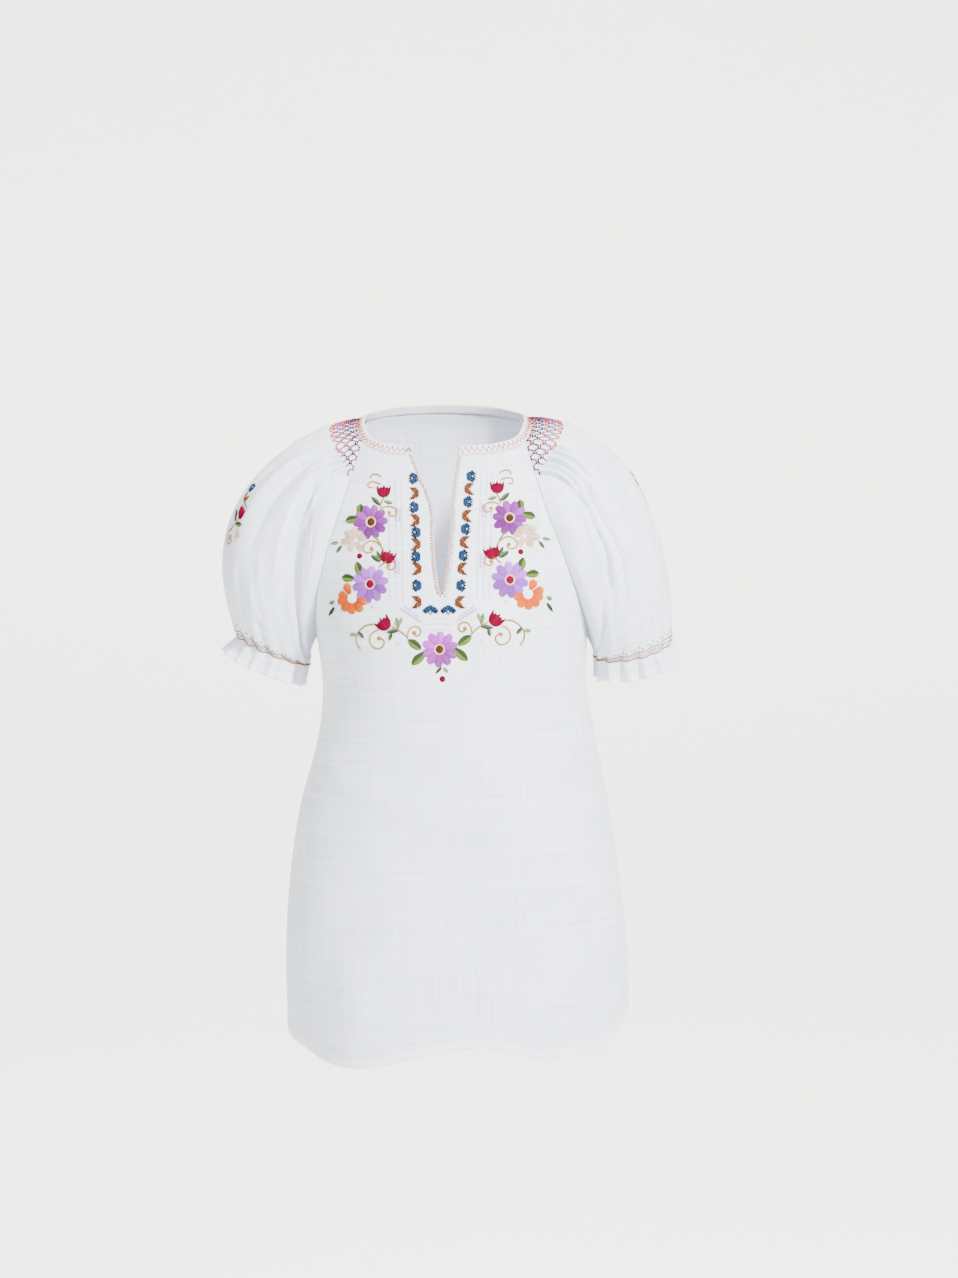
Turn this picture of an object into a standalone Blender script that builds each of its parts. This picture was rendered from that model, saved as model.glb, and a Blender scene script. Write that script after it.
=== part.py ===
"""Short-sleeved peasant blouse in fine white cotton, in its worn form, hollow.

Raglan front and back, puffed sleeves that run up to the neck, smocked shoulders, a bound round neck
with a front slit, smocked cuffs with ruffles, and a hem that rises at the side seams.
The front faces -Y and +Z is up. The origin is the middle of the neck at shoulder height, where a
wearer's shoulders hold the blouse. The wearer's right side is at -X. Sizes are in millimetres.
"""

import math

import bmesh
import bpy
import numpy as np

MM = 0.001

# Cloth and seams
CLOTH = 1.2
SEAM_GAP = 0.3
HEM_DEPTH = 9.0
HEM_RAISE = 0.5
BINDING_WIDTH = 9.5
BINDING_THICK = 2.0
BINDING_RAISE = 0.4
SLIT_EDGE_WIDTH = 4.0
EDGE_CUT_BACK = 0.6

# Heights of the body, measured from the shoulder
ARMPIT_HEIGHT = -212.0
SLIT_BOTTOM_HEIGHT = -175.3

# Sections of the body. Each is a rounded oval: its middle's shift to the side, its half width,
# and how far its front and back lie from the side seams.
SECTION_ROUNDNESS = 2.0 / 2.2
BODY = {
    "height": (-630, -562, -510, -437, -370, -305, -255, -222, -200, -163, -121, -85, -60, -45, -30, -4, 8),
    "shift": (13, 13, 12, 10, 10, 12, 10, 8, 6, 3, 1, 0, 0, 0, 0, 0, 0),
    "half_width": (159, 162, 162, 156, 146, 131, 125, 127, 129, 134, 136, 128, 117, 108, 98, 85, 79),
    "front": (131, 132, 131, 129, 126, 123, 121, 119, 117, 112, 101, 86, 72, 62, 52, 36, 28),
    "back": (120, 119, 117, 112, 105, 100, 100, 101, 101, 100, 96, 91, 87, 84, 80, 71, 64),
}

# The hem rises at the side seams and falls in soft lobes between them, by angle round the body from
# the middle of the front or back, the wearer's right side first
FRONT_HEM = {
    "angle": (-90, -72, -58, -45, -36, -24, -12, 0, 8, 18, 27, 35, 46, 53, 61, 71, 90),
    "height": (-580, -585, -589, -597.5, -599, -596.5, -588, -580.5, -578.5, -584, -589.5, -588.5, -593,
               -590, -580, -568.5, -567),
}
BACK_HEM = {
    "angle": (-90, -75, -55, -30, 0, 30, 55, 75, 90),
    "height": (-580, -584, -596, -602, -598, -601, -592, -571, -567),
}

# Where the raglan seams run: the angle round the body from the middle of the front or back
FRONT_RAGLAN = {
    "height": (-212, -205, -195, -163, -121, -75, -46, -31),
    "angle": (90, 84, 76, 60, 48, 43.5, 46, 49),
}
BACK_RAGLAN = {
    "height": (-212, -205, -195, -155, -105, -62, -30, -4),
    "angle": (90, 84, 76, 59, 50, 50, 56, 59),
}
FRONT_NECK_CENTRE = -44.0
BACK_NECK_CENTRE = 5.0
NECK_SIDE_BREADTH = 83.0
NECK_SIDE_HEIGHT = -12.0
SEAM_PLAIN_STEPS = 8
SEAM_SMOCKED_STEPS = 3
SMOCK_LENGTH_ON_SEAM = 32.0

# The neck slit: its middle's shift to the side and its half opening at each height
SLIT = {
    "height": (-171, -168, -160, -145, -120, -100, -85, -68, -53, -44, -30),
    "shift": (-1, -1, -1.1, -0.9, -0.4, -0.2, -1.6, -4.4, -6.3, -7.2, -7.6),
    "half_gap": (0, 1.6, 2.6, 4.8, 6.9, 7.4, 9.4, 14.2, 18.2, 20.6, 21.4),
}

# Soft folds that hang from the chest and back: angle, width in degrees, depth at the hem, top height
FRONT_FOLDS = (
    (-63, 9, 5.0, -330),
    (-34, 12, 6.0, -380),
    (2, 13, -6.5, -400),
    (33, 11, 5.5, -360),
    (50, 6, -3.0, -420),
    (66, 9, 4.0, -300),
)
BACK_FOLDS = (
    (-62, 8, 6.0, -250),
    (-38, 9, -5.0, -280),
    (-16, 10, 7.0, -230),
    (12, 9, -5.0, -300),
    (34, 10, 7.0, -240),
    (60, 8, 5.0, -300),
)

FRONT_HALF_COLUMNS = 13
BACK_HALF_COLUMNS = 12
BODY_ROWS = 8

# Sleeves. A column is a strand of cloth from the armhole to the cuff. Columns are counted round the
# sleeve from the underarm, up the front seam, over the neck and down the back seam.
COLUMNS = 56
SMOCK_START = SEAM_PLAIN_STEPS
FINE_PER_STEP = 4
NECK_COLUMNS = 16
FRONT_CORNER = SMOCK_START + SEAM_SMOCKED_STEPS * FINE_PER_STEP
BACK_CORNER = FRONT_CORNER + NECK_COLUMNS
SMOCK_END = BACK_CORNER + SEAM_SMOCKED_STEPS * FINE_PER_STEP

SMOCK_ROWS = 8
SMOCK_SHARE = 0.15
SMOCK_RELIEF = 1.3
SMOCK_NARROWING = 2.4
GATHER_SHARES = (0.19, 0.25, 0.33, 0.42, 0.53)
PUFF_SHARES = (0.62, 0.70, 0.78, 0.85)
CUFF_SHARES = (0.91, 0.96, 1.0)
GATHER_DEPTH = 0.9
RUFFLE_WAVES = 14
CUFF_WAVE_DEPTH = 1.3
RUFFLE_WAVE_DEPTH = 3.6
RUFFLE_STEPS = (6.5, 13.0, 20.0)

# A strand first runs sideways: how far at the underarm, and its greatest turn away from sideways
UNDERARM_REACH = 12.0
GREATEST_TURN = 60.0
PUFF_RING_MIX = 0.8

# The reach is how far a strand runs sideways at the shoulder, and the lift how much it rises there.
# Each ring is given by its inner end (nearest the body) and outer end as (across, height), its half
# depth from front to back, and how much lower its front lies than its middle. The flare is how far
# the ruffle stands out at its inner side, at its front and back, and at its outer side.
SLEEVES = {
    "sleeve_right": {
        "side": -1,
        "reach": 46,
        "lift": 0,
        "puff": ((128, -230), (253, -72), 82, 6),
        "cuff": ((129, -239), (196, -211), 35, 4),
        "flare": (4, 14, 16),
    },
    "sleeve_left": {
        "side": 1,
        "reach": 66,
        "lift": 10,
        "puff": ((141, -224), (222, -80), 82, 10),
        "cuff": ((143, -231), (215, -216), 36, 10),
        "flare": (4, 14, 12),
    },
}
ARM_MIDDLE_Y = 3.0

# Long soft folds of each puff: depth, width in columns, the shares of the strand along which the
# fold runs, and the column it lies on at each of them
PUFF_FOLDS = {
    "sleeve_right": (
        (-5.5, 1.9, (0.22, 0.27, 0.42, 0.52, 0.60, 0.68, 0.90), (18.0, 12.5, 9.0, 7.5, 6.0, 3.7, 1.5)),
        (3.0, 1.8, (0.25, 0.45, 0.75), (15.5, 12.5, 10.0)),
        (-3.0, 1.6, (0.20, 0.75), (19.0, 16.5)),
        (2.5, 1.5, (0.20, 0.70), (22.0, 20.5)),
        (-3.0, 1.5, (0.18, 0.62), (25.0, 24.0)),
        (2.5, 1.6, (0.20, 0.70), (31.0, 31.5)),
        (-3.0, 1.6, (0.20, 0.78), (36.0, 38.0)),
        (-5.0, 1.9, (0.20, 0.45, 0.90), (42.0, 45.5, 50.0)),
    ),
    "sleeve_left": (
        (-5.0, 1.6, (0.18, 0.25, 0.36, 0.47, 0.55, 0.68, 0.90), (12.5, 9.5, 8.0, 8.4, 8.8, 6.5, 3.0)),
        (-4.0, 1.5, (0.22, 0.33, 0.42, 0.50, 0.60, 0.85), (16.5, 12.2, 11.5, 11.8, 12.6, 10.5)),
        (2.5, 1.6, (0.22, 0.70), (19.0, 17.0)),
        (-3.0, 1.5, (0.18, 0.65), (23.0, 22.0)),
        (2.5, 1.6, (0.20, 0.70), (30.0, 30.5)),
        (-3.0, 1.6, (0.20, 0.78), (35.0, 37.0)),
        (-5.0, 1.9, (0.20, 0.45, 0.90), (41.0, 45.0, 50.0)),
    ),
}

MATERIALS = {
    "white_cotton": ((0.90, 0.90, 0.92), 0.85),
    "binding_cotton": ((0.92, 0.90, 0.88), 0.80),
    "peach_thread": ((0.93, 0.72, 0.62), 0.55),
}


def smooth(table, column, where, by="height"):
    """A smooth curve through one named column of a table, read at places along another column."""
    xs = np.array(table[by], float)
    ys = np.array(table[column], float)
    slopes = np.gradient(ys, xs)
    x = np.clip(np.asarray(where, float), xs[0], xs[-1])
    k = np.clip(np.searchsorted(xs, x) - 1, 0, len(xs) - 2)
    h = xs[k + 1] - xs[k]
    t = (x - xs[k]) / h
    return (
        ys[k] * (1 + 2 * t) * (1 - t) ** 2
        + slopes[k] * h * t * (1 - t) ** 2
        + ys[k + 1] * t * t * (3 - 2 * t)
        + slopes[k + 1] * h * t * t * (t - 1)
    )


def ramp(value, start, end):
    """0 before start, 1 after end, and smooth between them. Start may lie above end."""
    t = min(1.0, max(0.0, (value - start) / (end - start)))
    return t * t * (3 - 2 * t)


def unit(vector):
    return np.asarray(vector, float) / max(np.linalg.norm(vector), 1e-9)


def fold_depth(folds, angle, height):
    """How far the hanging folds push the cloth out at an angle in degrees and a height."""
    total = 0.0
    for middle, width, depth, top in folds:
        total += depth * math.exp(-(((angle - middle) / width) ** 2)) * ramp(height, top, -600)
    return total


def body_point(angle, height, facing):
    """A point of the body's outside. Angle is in degrees from the middle of the front or back, and
    facing is -1 on the front and +1 on the back."""
    sine, cosine = math.sin(math.radians(angle)), max(0.0, math.cos(math.radians(angle)))
    depth_name, folds = ("front", FRONT_FOLDS) if facing < 0 else ("back", BACK_FOLDS)
    push = fold_depth(folds, angle, height) * cosine
    half_width = float(smooth(BODY, "half_width", height))
    depth = float(smooth(BODY, depth_name, height)) + push
    x = float(smooth(BODY, "shift", height)) + half_width * math.copysign(
        abs(sine) ** SECTION_ROUNDNESS, sine
    )
    return np.array([x, facing * depth * cosine**SECTION_ROUNDNESS, height])


def angle_at(x, height):
    """The angle at which the body's outside reaches x at this height."""
    reach = (x - float(smooth(BODY, "shift", height))) / float(smooth(BODY, "half_width", height))
    return math.degrees(math.asin(math.copysign(min(1.0, abs(reach)) ** (1 / SECTION_ROUNDNESS), reach)))


def seam_heights(neck_height):
    """Heights of the raglan seam's points, from the armpit to the neck."""
    smock_start = neck_height - SMOCK_LENGTH_ON_SEAM
    plain = np.linspace(ARMPIT_HEIGHT, smock_start, SEAM_PLAIN_STEPS + 1)
    smocked = np.linspace(smock_start, neck_height, SEAM_SMOCKED_STEPS + 1)
    return list(plain) + list(smocked[1:])


def side_gap_angle(height, facing):
    """The last angle of a panel, half a seam gap short of the side seam."""
    depth = float(smooth(BODY, "front" if facing < 0 else "back", height))
    cosine = (SEAM_GAP / 2 / depth) ** (1 / SECTION_ROUNDNESS)
    return math.degrees(math.acos(cosine))


def hem_height(share, facing):
    """Height of the hem at a signed share of the panel, 0 in its middle and 1 at a side seam."""
    return float(smooth(FRONT_HEM if facing < 0 else BACK_HEM, "height", 90.0 * share, by="angle"))


def panel_rows(facing):
    """The rows of a panel from the hem up, each as a function of the share that gives (angle limit,
    height), with a mark for the rows of the raised hem."""
    raglan = FRONT_RAGLAN if facing < 0 else BACK_RAGLAN
    neck = raglan["height"][-1]
    centre_top = FRONT_NECK_CENTRE if facing < 0 else BACK_NECK_CENTRE
    chest = -203.0
    rows = []

    def lower(share_up, lift, raised):
        def place(u):
            chest_height = chest + (ARMPIT_HEIGHT - chest) * u * u
            height = hem_height(u, facing) + lift
            height += (chest_height - height) * share_up
            return side_gap_angle(height, facing), height

        rows.append((place, raised))

    lower(0.0, 0.0, True)
    lower(0.0, HEM_DEPTH, True)
    lower(0.0, HEM_DEPTH + 0.6, False)
    for k in range(1, BODY_ROWS + 1):
        lower(k / BODY_ROWS, (HEM_DEPTH + 0.6) * (1 - k / BODY_ROWS), False)

    edges = seam_heights(neck)
    below_slit = 2
    steps = SEAM_PLAIN_STEPS + SEAM_SMOCKED_STEPS
    centres = list(np.linspace(chest, SLIT_BOTTOM_HEIGHT, below_slit + 1))
    centres += list(np.linspace(SLIT_BOTTOM_HEIGHT, centre_top, steps - below_slit + 1)[1:])
    for edge, centre in zip(edges[1:], centres[1:]):

        def place(u, edge=edge, centre=centre):
            limit = float(smooth(raglan, "angle", edge))
            return limit, centre + (edge - centre) * u * u

        rows.append((place, False))
    return rows, len(rows) - steps + below_slit - 1


def slit_edges(height, margin):
    """The two sides of the slit at a height, moved into the cloth by a margin."""
    middle = float(smooth(SLIT, "shift", height))
    half = float(smooth(SLIT, "half_gap", height)) + margin
    return middle - half, middle + half


def front_halves():
    """The front's outer points as two grids, right half and left half, each from its side seam to
    the middle. They share the middle column up to the slit's bottom."""
    rows, slit_row = panel_rows(-1)
    halves = {-1: [], 1: []}
    for number, (place, raised) in enumerate(rows):
        for side in (-1, 1):
            line = []
            for column in range(FRONT_HALF_COLUMNS + 1):
                share = 1 - column / FRONT_HALF_COLUMNS
                limit, height = place(side * share)
                start = 0.0
                if number > slit_row:
                    _, centre = place(0.0)
                    edge = slit_edges(centre, SLIT_EDGE_WIDTH + SEAM_GAP)[0 if side < 0 else 1]
                    start = angle_at(edge, centre)
                angle = start + (side * limit - start) * share
                line.append(body_point(angle, height, -1))
            halves[side].append(line)
    return halves, rows, slit_row


def back_grid():
    rows, _ = panel_rows(1)
    grid = []
    for place, raised in rows:
        line = []
        for column in range(-BACK_HALF_COLUMNS, BACK_HALF_COLUMNS + 1):
            limit, height = place(column / BACK_HALF_COLUMNS)
            line.append(body_point(limit * column / BACK_HALF_COLUMNS, height, 1))
        grid.append(line)
    return grid, rows


def finish_mesh(name, vertices, faces, material):
    """An object from points in millimetres, its faces turned outwards, shaded smooth."""
    mesh = bpy.data.meshes.new(name)
    mesh.from_pydata([tuple(v * MM) for v in vertices], [], faces)
    work = bmesh.new()
    work.from_mesh(mesh)
    bmesh.ops.recalc_face_normals(work, faces=work.faces)
    if work.calc_volume(signed=True) < 0:
        bmesh.ops.reverse_faces(work, faces=work.faces)
    work.to_mesh(mesh)
    work.free()
    mesh.shade_smooth()
    mesh.set_sharp_from_angle(angle=math.radians(55))
    mesh.materials.append(material)
    made = bpy.data.objects.new(name, mesh)
    bpy.context.scene.collection.objects.link(made)
    return made


def sheet_normals(points, faces):
    """Each point's outward normal, from the faces round it. Faces are listed to face outwards."""
    normals = np.zeros((len(points), 3))
    for face in faces:
        a, b, c, d = (points[i] for i in face)
        normal = np.cross(c - a, d - b)
        for i in face:
            normals[i] += normal
    return [unit(n) for n in normals]


def wall(name, points, faces, raised, fixed_normals, material):
    """A cloth wall from the points of its outside: an inner copy is set back by the cloth's
    thickness and the two are joined along every open edge."""
    normals = sheet_normals(points, faces)
    for index, normal in fixed_normals.items():
        normals[index] = unit(normal)
    count = len(points)
    outer = [p + n * (HEM_RAISE if r else 0.0) for p, n, r in zip(points, normals, raised)]
    inner = [p - n * CLOTH for p, n in zip(points, normals)]
    sides = [list(f) for f in faces] + [[i + count for i in reversed(f)] for f in faces]
    used = {}
    for face in faces:
        for a, b in zip(face, face[1:] + face[:1]):
            used[(a, b)] = True
    for a, b in used:
        if (b, a) not in used:
            sides.append([b, a, a + count, b + count])
    return finish_mesh(name, outer + inner, sides, material)


def pull_back(grid_line, neighbour_line, distance):
    """Moves each point of a line towards its neighbour, to leave half of a seam's gap."""
    return [p + unit(q - p) * distance for p, q in zip(grid_line, neighbour_line)]


def open_seams(grid, first_seam_row, both_edges):
    """Pulls a panel's raglan and neck edges back by half a seam gap. Column 0 is a seam edge, and
    so is the last column if both_edges is true."""
    half_gap = SEAM_GAP / 2
    moved = [list(line) for line in grid]
    for row in range(first_seam_row, len(grid)):
        line = grid[row]
        moved[row][0] = line[0] + unit(line[1] - line[0]) * half_gap
        if both_edges:
            moved[row][-1] = line[-1] + unit(line[-2] - line[-1]) * half_gap
    top = pull_back(moved[-1], moved[-2], half_gap)
    moved[-1] = top
    return moved


def build_front(material):
    halves, rows, slit_row = front_halves()
    first_seam_row = len(rows) - SEAM_PLAIN_STEPS - SEAM_SMOCKED_STEPS
    points, raised, index, fixed = [], [], {}, {}
    for side in (-1, 1):
        grid = open_seams(halves[side], first_seam_row, False)
        for row, line in enumerate(grid):
            for column, point in enumerate(line):
                shared = column == FRONT_HALF_COLUMNS and row <= slit_row
                if shared and side > 0:
                    index[(side, row, column)] = index[(-1, row, column)]
                    continue
                index[(side, row, column)] = len(points)
                if column == 0 and row < first_seam_row:
                    fixed[len(points)] = (side, 0, 0)
                points.append(point)
                raised.append(rows[row][1])
    faces = []
    for side in (-1, 1):
        for row in range(len(rows) - 1):
            for column in range(FRONT_HALF_COLUMNS):
                corners = [
                    index[(side, row, column)],
                    index[(side, row, column + 1)],
                    index[(side, row + 1, column + 1)],
                    index[(side, row + 1, column)],
                ]
                faces.append(corners if side < 0 else corners[::-1])
    wall("front", points, faces, raised, fixed, material)
    return halves, slit_row


def build_back(material):
    grid, rows = back_grid()
    first_seam_row = len(rows) - SEAM_PLAIN_STEPS - SEAM_SMOCKED_STEPS
    moved = open_seams(grid, first_seam_row, True)
    width = 2 * BACK_HALF_COLUMNS + 1
    points = [p for line in moved for p in line]
    raised = [rows[row][1] for row in range(len(rows)) for _ in range(width)]
    fixed = {}
    for row in range(first_seam_row):
        fixed[row * width] = (-1, 0, 0)
        fixed[row * width + width - 1] = (1, 0, 0)
    faces = []
    for row in range(len(rows) - 1):
        for column in range(width - 1):
            a = row * width + column
            faces.append([a, a + width, a + width + 1, a + 1])
    wall("back", points, faces, raised, fixed, material)
    return grid


def neck_arc(front_corner, back_corner, side):
    """The sleeve's edge at the neck: a smooth arc over the shoulder, corner to corner."""
    top = np.array([side * NECK_SIDE_BREADTH, 2.0, NECK_SIDE_HEIGHT])
    arc = []
    for k in range(NECK_COLUMNS + 1):
        q = k / NECK_COLUMNS
        arc.append(
            front_corner * (2 * q - 1) * (q - 1) + top * 4 * q * (1 - q) + back_corner * q * (2 * q - 1)
        )
    return arc


def armhole(front_line, back_line, side):
    """The sleeve's first edge, one point for each column: up the front seam, over the neck and down
    the back seam. The seams' own points are kept, so that the cloth meets the panels exactly."""
    loop = []

    def along(line, reverse):
        order = line[::-1] if reverse else line
        fine = [order[0]]
        for k in range(len(order) - 1):
            smocked = k < SEAM_SMOCKED_STEPS if reverse else k >= SEAM_PLAIN_STEPS
            parts = FINE_PER_STEP if smocked else 1
            for part in range(1, parts + 1):
                fine.append(order[k] + (order[k + 1] - order[k]) * part / parts)
        return fine

    loop += along(front_line, False)
    loop += neck_arc(front_line[-1], back_line[-1], side)[1:]
    loop += along(back_line, True)[1:-1]
    return loop


def ring_point(ring, side, angle):
    """A point of a sleeve ring. Angle 0 is its inner end, 90 its front and 180 its outer end."""
    (inner_x, inner_z), (outer_x, outer_z), depth, drop = ring
    inner = np.array([side * inner_x, ARM_MIDDLE_Y, inner_z])
    outer = np.array([side * outer_x, ARM_MIDDLE_Y, outer_z])
    middle, long_axis = (inner + outer) / 2, (inner - outer) / 2
    deep_axis = np.array([0.0, -depth, -drop])
    a = math.radians(angle)
    return middle + long_axis * math.cos(a) + deep_axis * math.sin(a)


def armhole_angles(loop):
    """Where each point of the armhole lies round it, in degrees from the underarm."""
    middle_z = (ARMPIT_HEIGHT + NECK_SIDE_HEIGHT) / 2
    angles = []
    for point in loop:
        angle = math.degrees(math.atan2(-(point[1] - ARM_MIDDLE_Y), middle_z - point[2])) % 360
        angles.append(angle)
    angles[0] = 0.0
    return angles


def strand(start, place, column, sleeve, share):
    """A point of one strand of sleeve cloth, which leaves the armhole sideways, swells into the
    puff and is drawn into the cuff."""
    side = sleeve["side"]
    around = math.radians(place)
    up = (1 - math.cos(around)) / 2
    turn = math.radians(GREATEST_TURN * (1 - up))
    reach = UNDERARM_REACH + (sleeve["reach"] - UNDERARM_REACH) * up
    direction = np.array(
        [side * math.cos(turn), -math.sin(around) * math.sin(turn), -math.cos(around) * math.sin(turn)]
    )
    even = 360.0 * column / COLUMNS
    first = start + direction * reach + np.array([0, 0, sleeve["lift"] * up * up])
    second = ring_point(sleeve["puff"], side, place + (even - place) * PUFF_RING_MIX)
    end = ring_point(sleeve["cuff"], side, even)
    t = share
    return start * (1 - t) ** 3 + first * 3 * t * (1 - t) ** 2 + second * 3 * t * t * (1 - t) + end * t**3


def normals_of(grid):
    """Outward normals of a closed grid of rings, from its neighbours along and round it."""
    data = np.array(grid)
    around = np.roll(data, -1, axis=1) - np.roll(data, 1, axis=1)
    along = np.gradient(data, axis=0)
    normals = np.cross(along, around)
    normals /= np.linalg.norm(normals, axis=2, keepdims=True)
    middles = data.mean(axis=1, keepdims=True)
    if ((data - middles) * normals).sum() < 0:
        normals = -normals
    return normals


def sleeve_push(name, column, share):
    """How far gathers and folds push the cloth out at a column and a share of the strand."""
    top = ramp(column, SMOCK_START - 1, SMOCK_START + 3) * ramp(column, SMOCK_END + 1, SMOCK_END - 3)
    alternate = 1.0 if column % 2 == 0 else -1.0
    gathered = ramp(share, SMOCK_SHARE - 0.04, SMOCK_SHARE + 0.03) * ramp(share, 0.5, 0.28)
    push = GATHER_DEPTH * alternate * top * gathered
    for depth, width, shares, columns in PUFF_FOLDS[name]:
        middle = float(np.interp(share, shares, columns))
        inside = ramp(share, shares[0], shares[0] + 0.15) * ramp(share, shares[-1], shares[-1] - 0.2)
        push += depth * inside * math.exp(-(((column - middle) / width) ** 2))
    wave = math.cos(2 * math.pi * RUFFLE_WAVES * column / COLUMNS)
    return push + CUFF_WAVE_DEPTH * wave * ramp(share, 0.72, 1.0)


def flare_angle(sleeve, angle):
    """How far the ruffle stands out at a place round the cuff, in radians."""
    inner, front, outer = sleeve["flare"]
    a = math.radians(angle)
    inner_share, outer_share = max(0.0, math.cos(a)), max(0.0, -math.cos(a)) ** 1.5
    return math.radians(front + (outer - front) * outer_share + (inner - front) * inner_share)


def ruffle_rings(sleeve, cuff_line):
    """Rings of the ruffle below the cuff, which flares and waves more towards its edge."""
    side = sleeve["side"]
    middle = (ring_point(sleeve["cuff"], side, 0) + ring_point(sleeve["cuff"], side, 180)) / 2
    long_axis = ring_point(sleeve["cuff"], side, 0) - middle
    deep_axis = ring_point(sleeve["cuff"], side, 90) - middle
    down = unit(np.cross(long_axis, deep_axis))
    if down[2] > 0:
        down = -down
    rings = []
    for distance in RUFFLE_STEPS:
        ring = []
        for column in range(COLUMNS):
            angle = 360.0 * column / COLUMNS
            start = cuff_line[column]
            out = start - middle
            out = unit(out - down * out.dot(down))
            flare = flare_angle(sleeve, angle)
            surface = unit(out * math.cos(flare) - down * math.sin(flare))
            wave = math.cos(2 * math.pi * RUFFLE_WAVES * column / COLUMNS)
            grown = distance / RUFFLE_STEPS[-1]
            quiet = 1.0 - 0.45 * max(0.0, math.cos(math.radians(angle)))
            step = down * math.cos(flare) + out * math.sin(flare)
            ring.append(start + step * distance + surface * wave * RUFFLE_WAVE_DEPTH * grown * quiet)
        rings.append(ring)
    return rings


def smock_relief(row, column):
    """Raised points of the honeycomb: every other point, in rows that narrow away from the neck."""
    if row == 0 or row > SMOCK_ROWS:
        return 0.0
    trim = SMOCK_NARROWING * (row - 1) / 2
    if not SMOCK_START + trim < column < SMOCK_END - trim:
        return 0.0
    return SMOCK_RELIEF if (row + column) % 2 == 0 else 0.0


def stitch(faces, ring_a, ring_b):
    """Joins two rings, each a dictionary from column to vertex. One may have fewer columns."""
    common = sorted(set(ring_a) & set(ring_b))
    for here, there in zip(common, common[1:] + [common[0] + COLUMNS]):
        def run(ring):
            return [ring[c % COLUMNS] for c in range(here, there + 1) if c % COLUMNS in ring]

        line_a, line_b = run(ring_a), run(ring_b)
        if len(line_a) == len(line_b):
            for k in range(len(line_a) - 1):
                faces.append([line_a[k], line_a[k + 1], line_b[k + 1], line_b[k]])
        elif len(line_a) > len(line_b):
            faces.append([line_a[0], line_a[1], line_b[0]])
            faces.append([line_a[1], line_b[1], line_b[0]])
            faces.append([line_a[1], line_a[2], line_b[1]])
        else:
            faces.append([line_a[0], line_b[1], line_b[0]])
            faces.append([line_a[0], line_a[1], line_b[1]])
            faces.append([line_a[1], line_b[2], line_b[1]])


def build_sleeve(name, sleeve, front_line, back_line, material):
    loop = armhole(front_line, back_line, sleeve["side"])
    places = armhole_angles(loop)
    shares = [SMOCK_SHARE * k / SMOCK_ROWS for k in range(SMOCK_ROWS + 1)]
    shares += list(GATHER_SHARES + PUFF_SHARES + CUFF_SHARES)
    plain = [
        [strand(loop[c], places[c], c, sleeve, share) for c in range(COLUMNS)] for share in shares
    ]
    plain[0] = [p + unit(q - p) * SEAM_GAP / 2 for p, q in zip(plain[0], plain[1])]
    plain_normals = normals_of(plain)
    base = [
        [plain[r][c] + plain_normals[r][c] * sleeve_push(name, c, share) for c in range(COLUMNS)]
        for r, share in enumerate(shares)
    ]
    base += ruffle_rings(sleeve, base[-1])
    normals = normals_of(base)

    every = range(COLUMNS)
    even = range(0, COLUMNS, 2)
    inside_smock = [c for c in every if c <= SMOCK_START or c >= SMOCK_END or c % 2 == 0]
    first_puff = SMOCK_ROWS + 1 + len(GATHER_SHARES)
    puff_rows = range(first_puff, first_puff + len(PUFF_SHARES))
    vertices, rings = [], []

    def add_ring(row, columns, offset):
        ring = {}
        for c in columns:
            ring[c] = len(vertices)
            vertices.append(base[row][c] + normals[row][c] * offset(row, c))
        rings.append(ring)

    for row in range(len(base)):
        add_ring(row, even if row in puff_rows else every, smock_relief)
    for row in reversed(range(len(base))):
        if 0 <= row <= SMOCK_ROWS:
            if row in (0, SMOCK_ROWS // 2):
                add_ring(row, inside_smock, lambda r, c: -CLOTH)
            continue
        add_ring(row, even if row in puff_rows else every, lambda r, c: -CLOTH)
    faces = []
    for a, b in zip(rings, rings[1:] + rings[:1]):
        stitch(faces, a, b)
    finish_mesh(name, vertices, faces, material)
    return loop


def band_directions(points):
    """For each point of the neck seam, the way up the binding and the way out of it."""
    ups, outs = [], []
    for k, point in enumerate(points):
        tangent = unit(points[min(k + 1, len(points) - 1)] - points[max(k - 1, 0)])
        inward = unit([-point[0], -point[1], 0])
        lean = math.radians(30 + 14 * (abs(point[0]) / NECK_SIDE_BREADTH) ** 3)
        up = unit(np.array([0, 0, math.cos(lean)]) + inward * math.sin(lean))
        up = unit(up - tangent * up.dot(tangent))
        out = unit(np.cross(up, tangent))
        if out.dot(inward) > 0:
            out = -out
        ups.append(up)
        outs.append(out)
    return ups, outs


def build_strip(name, lower, upper, outs, raise_by, thick, material):
    """A closed strip between two lines of points, with a thickness and closed ends. Its lower edge
    is cut back a little inside, to stay clear of the panel below it."""
    vertices, faces = [], []
    for low, high, out in zip(lower, upper, outs):
        vertices += [
            low + out * raise_by,
            high + out * raise_by,
            high + out * (raise_by - thick),
            low + out * (raise_by - thick) + unit(high - low) * EDGE_CUT_BACK,
        ]
    last = len(lower) - 1
    for k in range(last):
        a, b = 4 * k, 4 * k + 4
        for corner in range(4):
            other = (corner + 1) % 4
            faces.append([a + corner, a + other, b + other, b + corner])
    faces.append([0, 1, 2, 3])
    faces.append([4 * last + c for c in (3, 2, 1, 0)])
    return finish_mesh(name, vertices, faces, material)


def slit_side_points(halves, slit_row, side, margin):
    """Points beside the slit on one side of the front, above its bottom, moved towards the slit."""
    points = []
    for row in range(slit_row + 1, len(halves[side])):
        edge, inside = halves[side][row][-1], halves[side][row][-2]
        towards = unit(np.array([edge[0] - inside[0], edge[1] - inside[1], 0]))
        points.append(edge + towards * margin)
    return points


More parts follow.
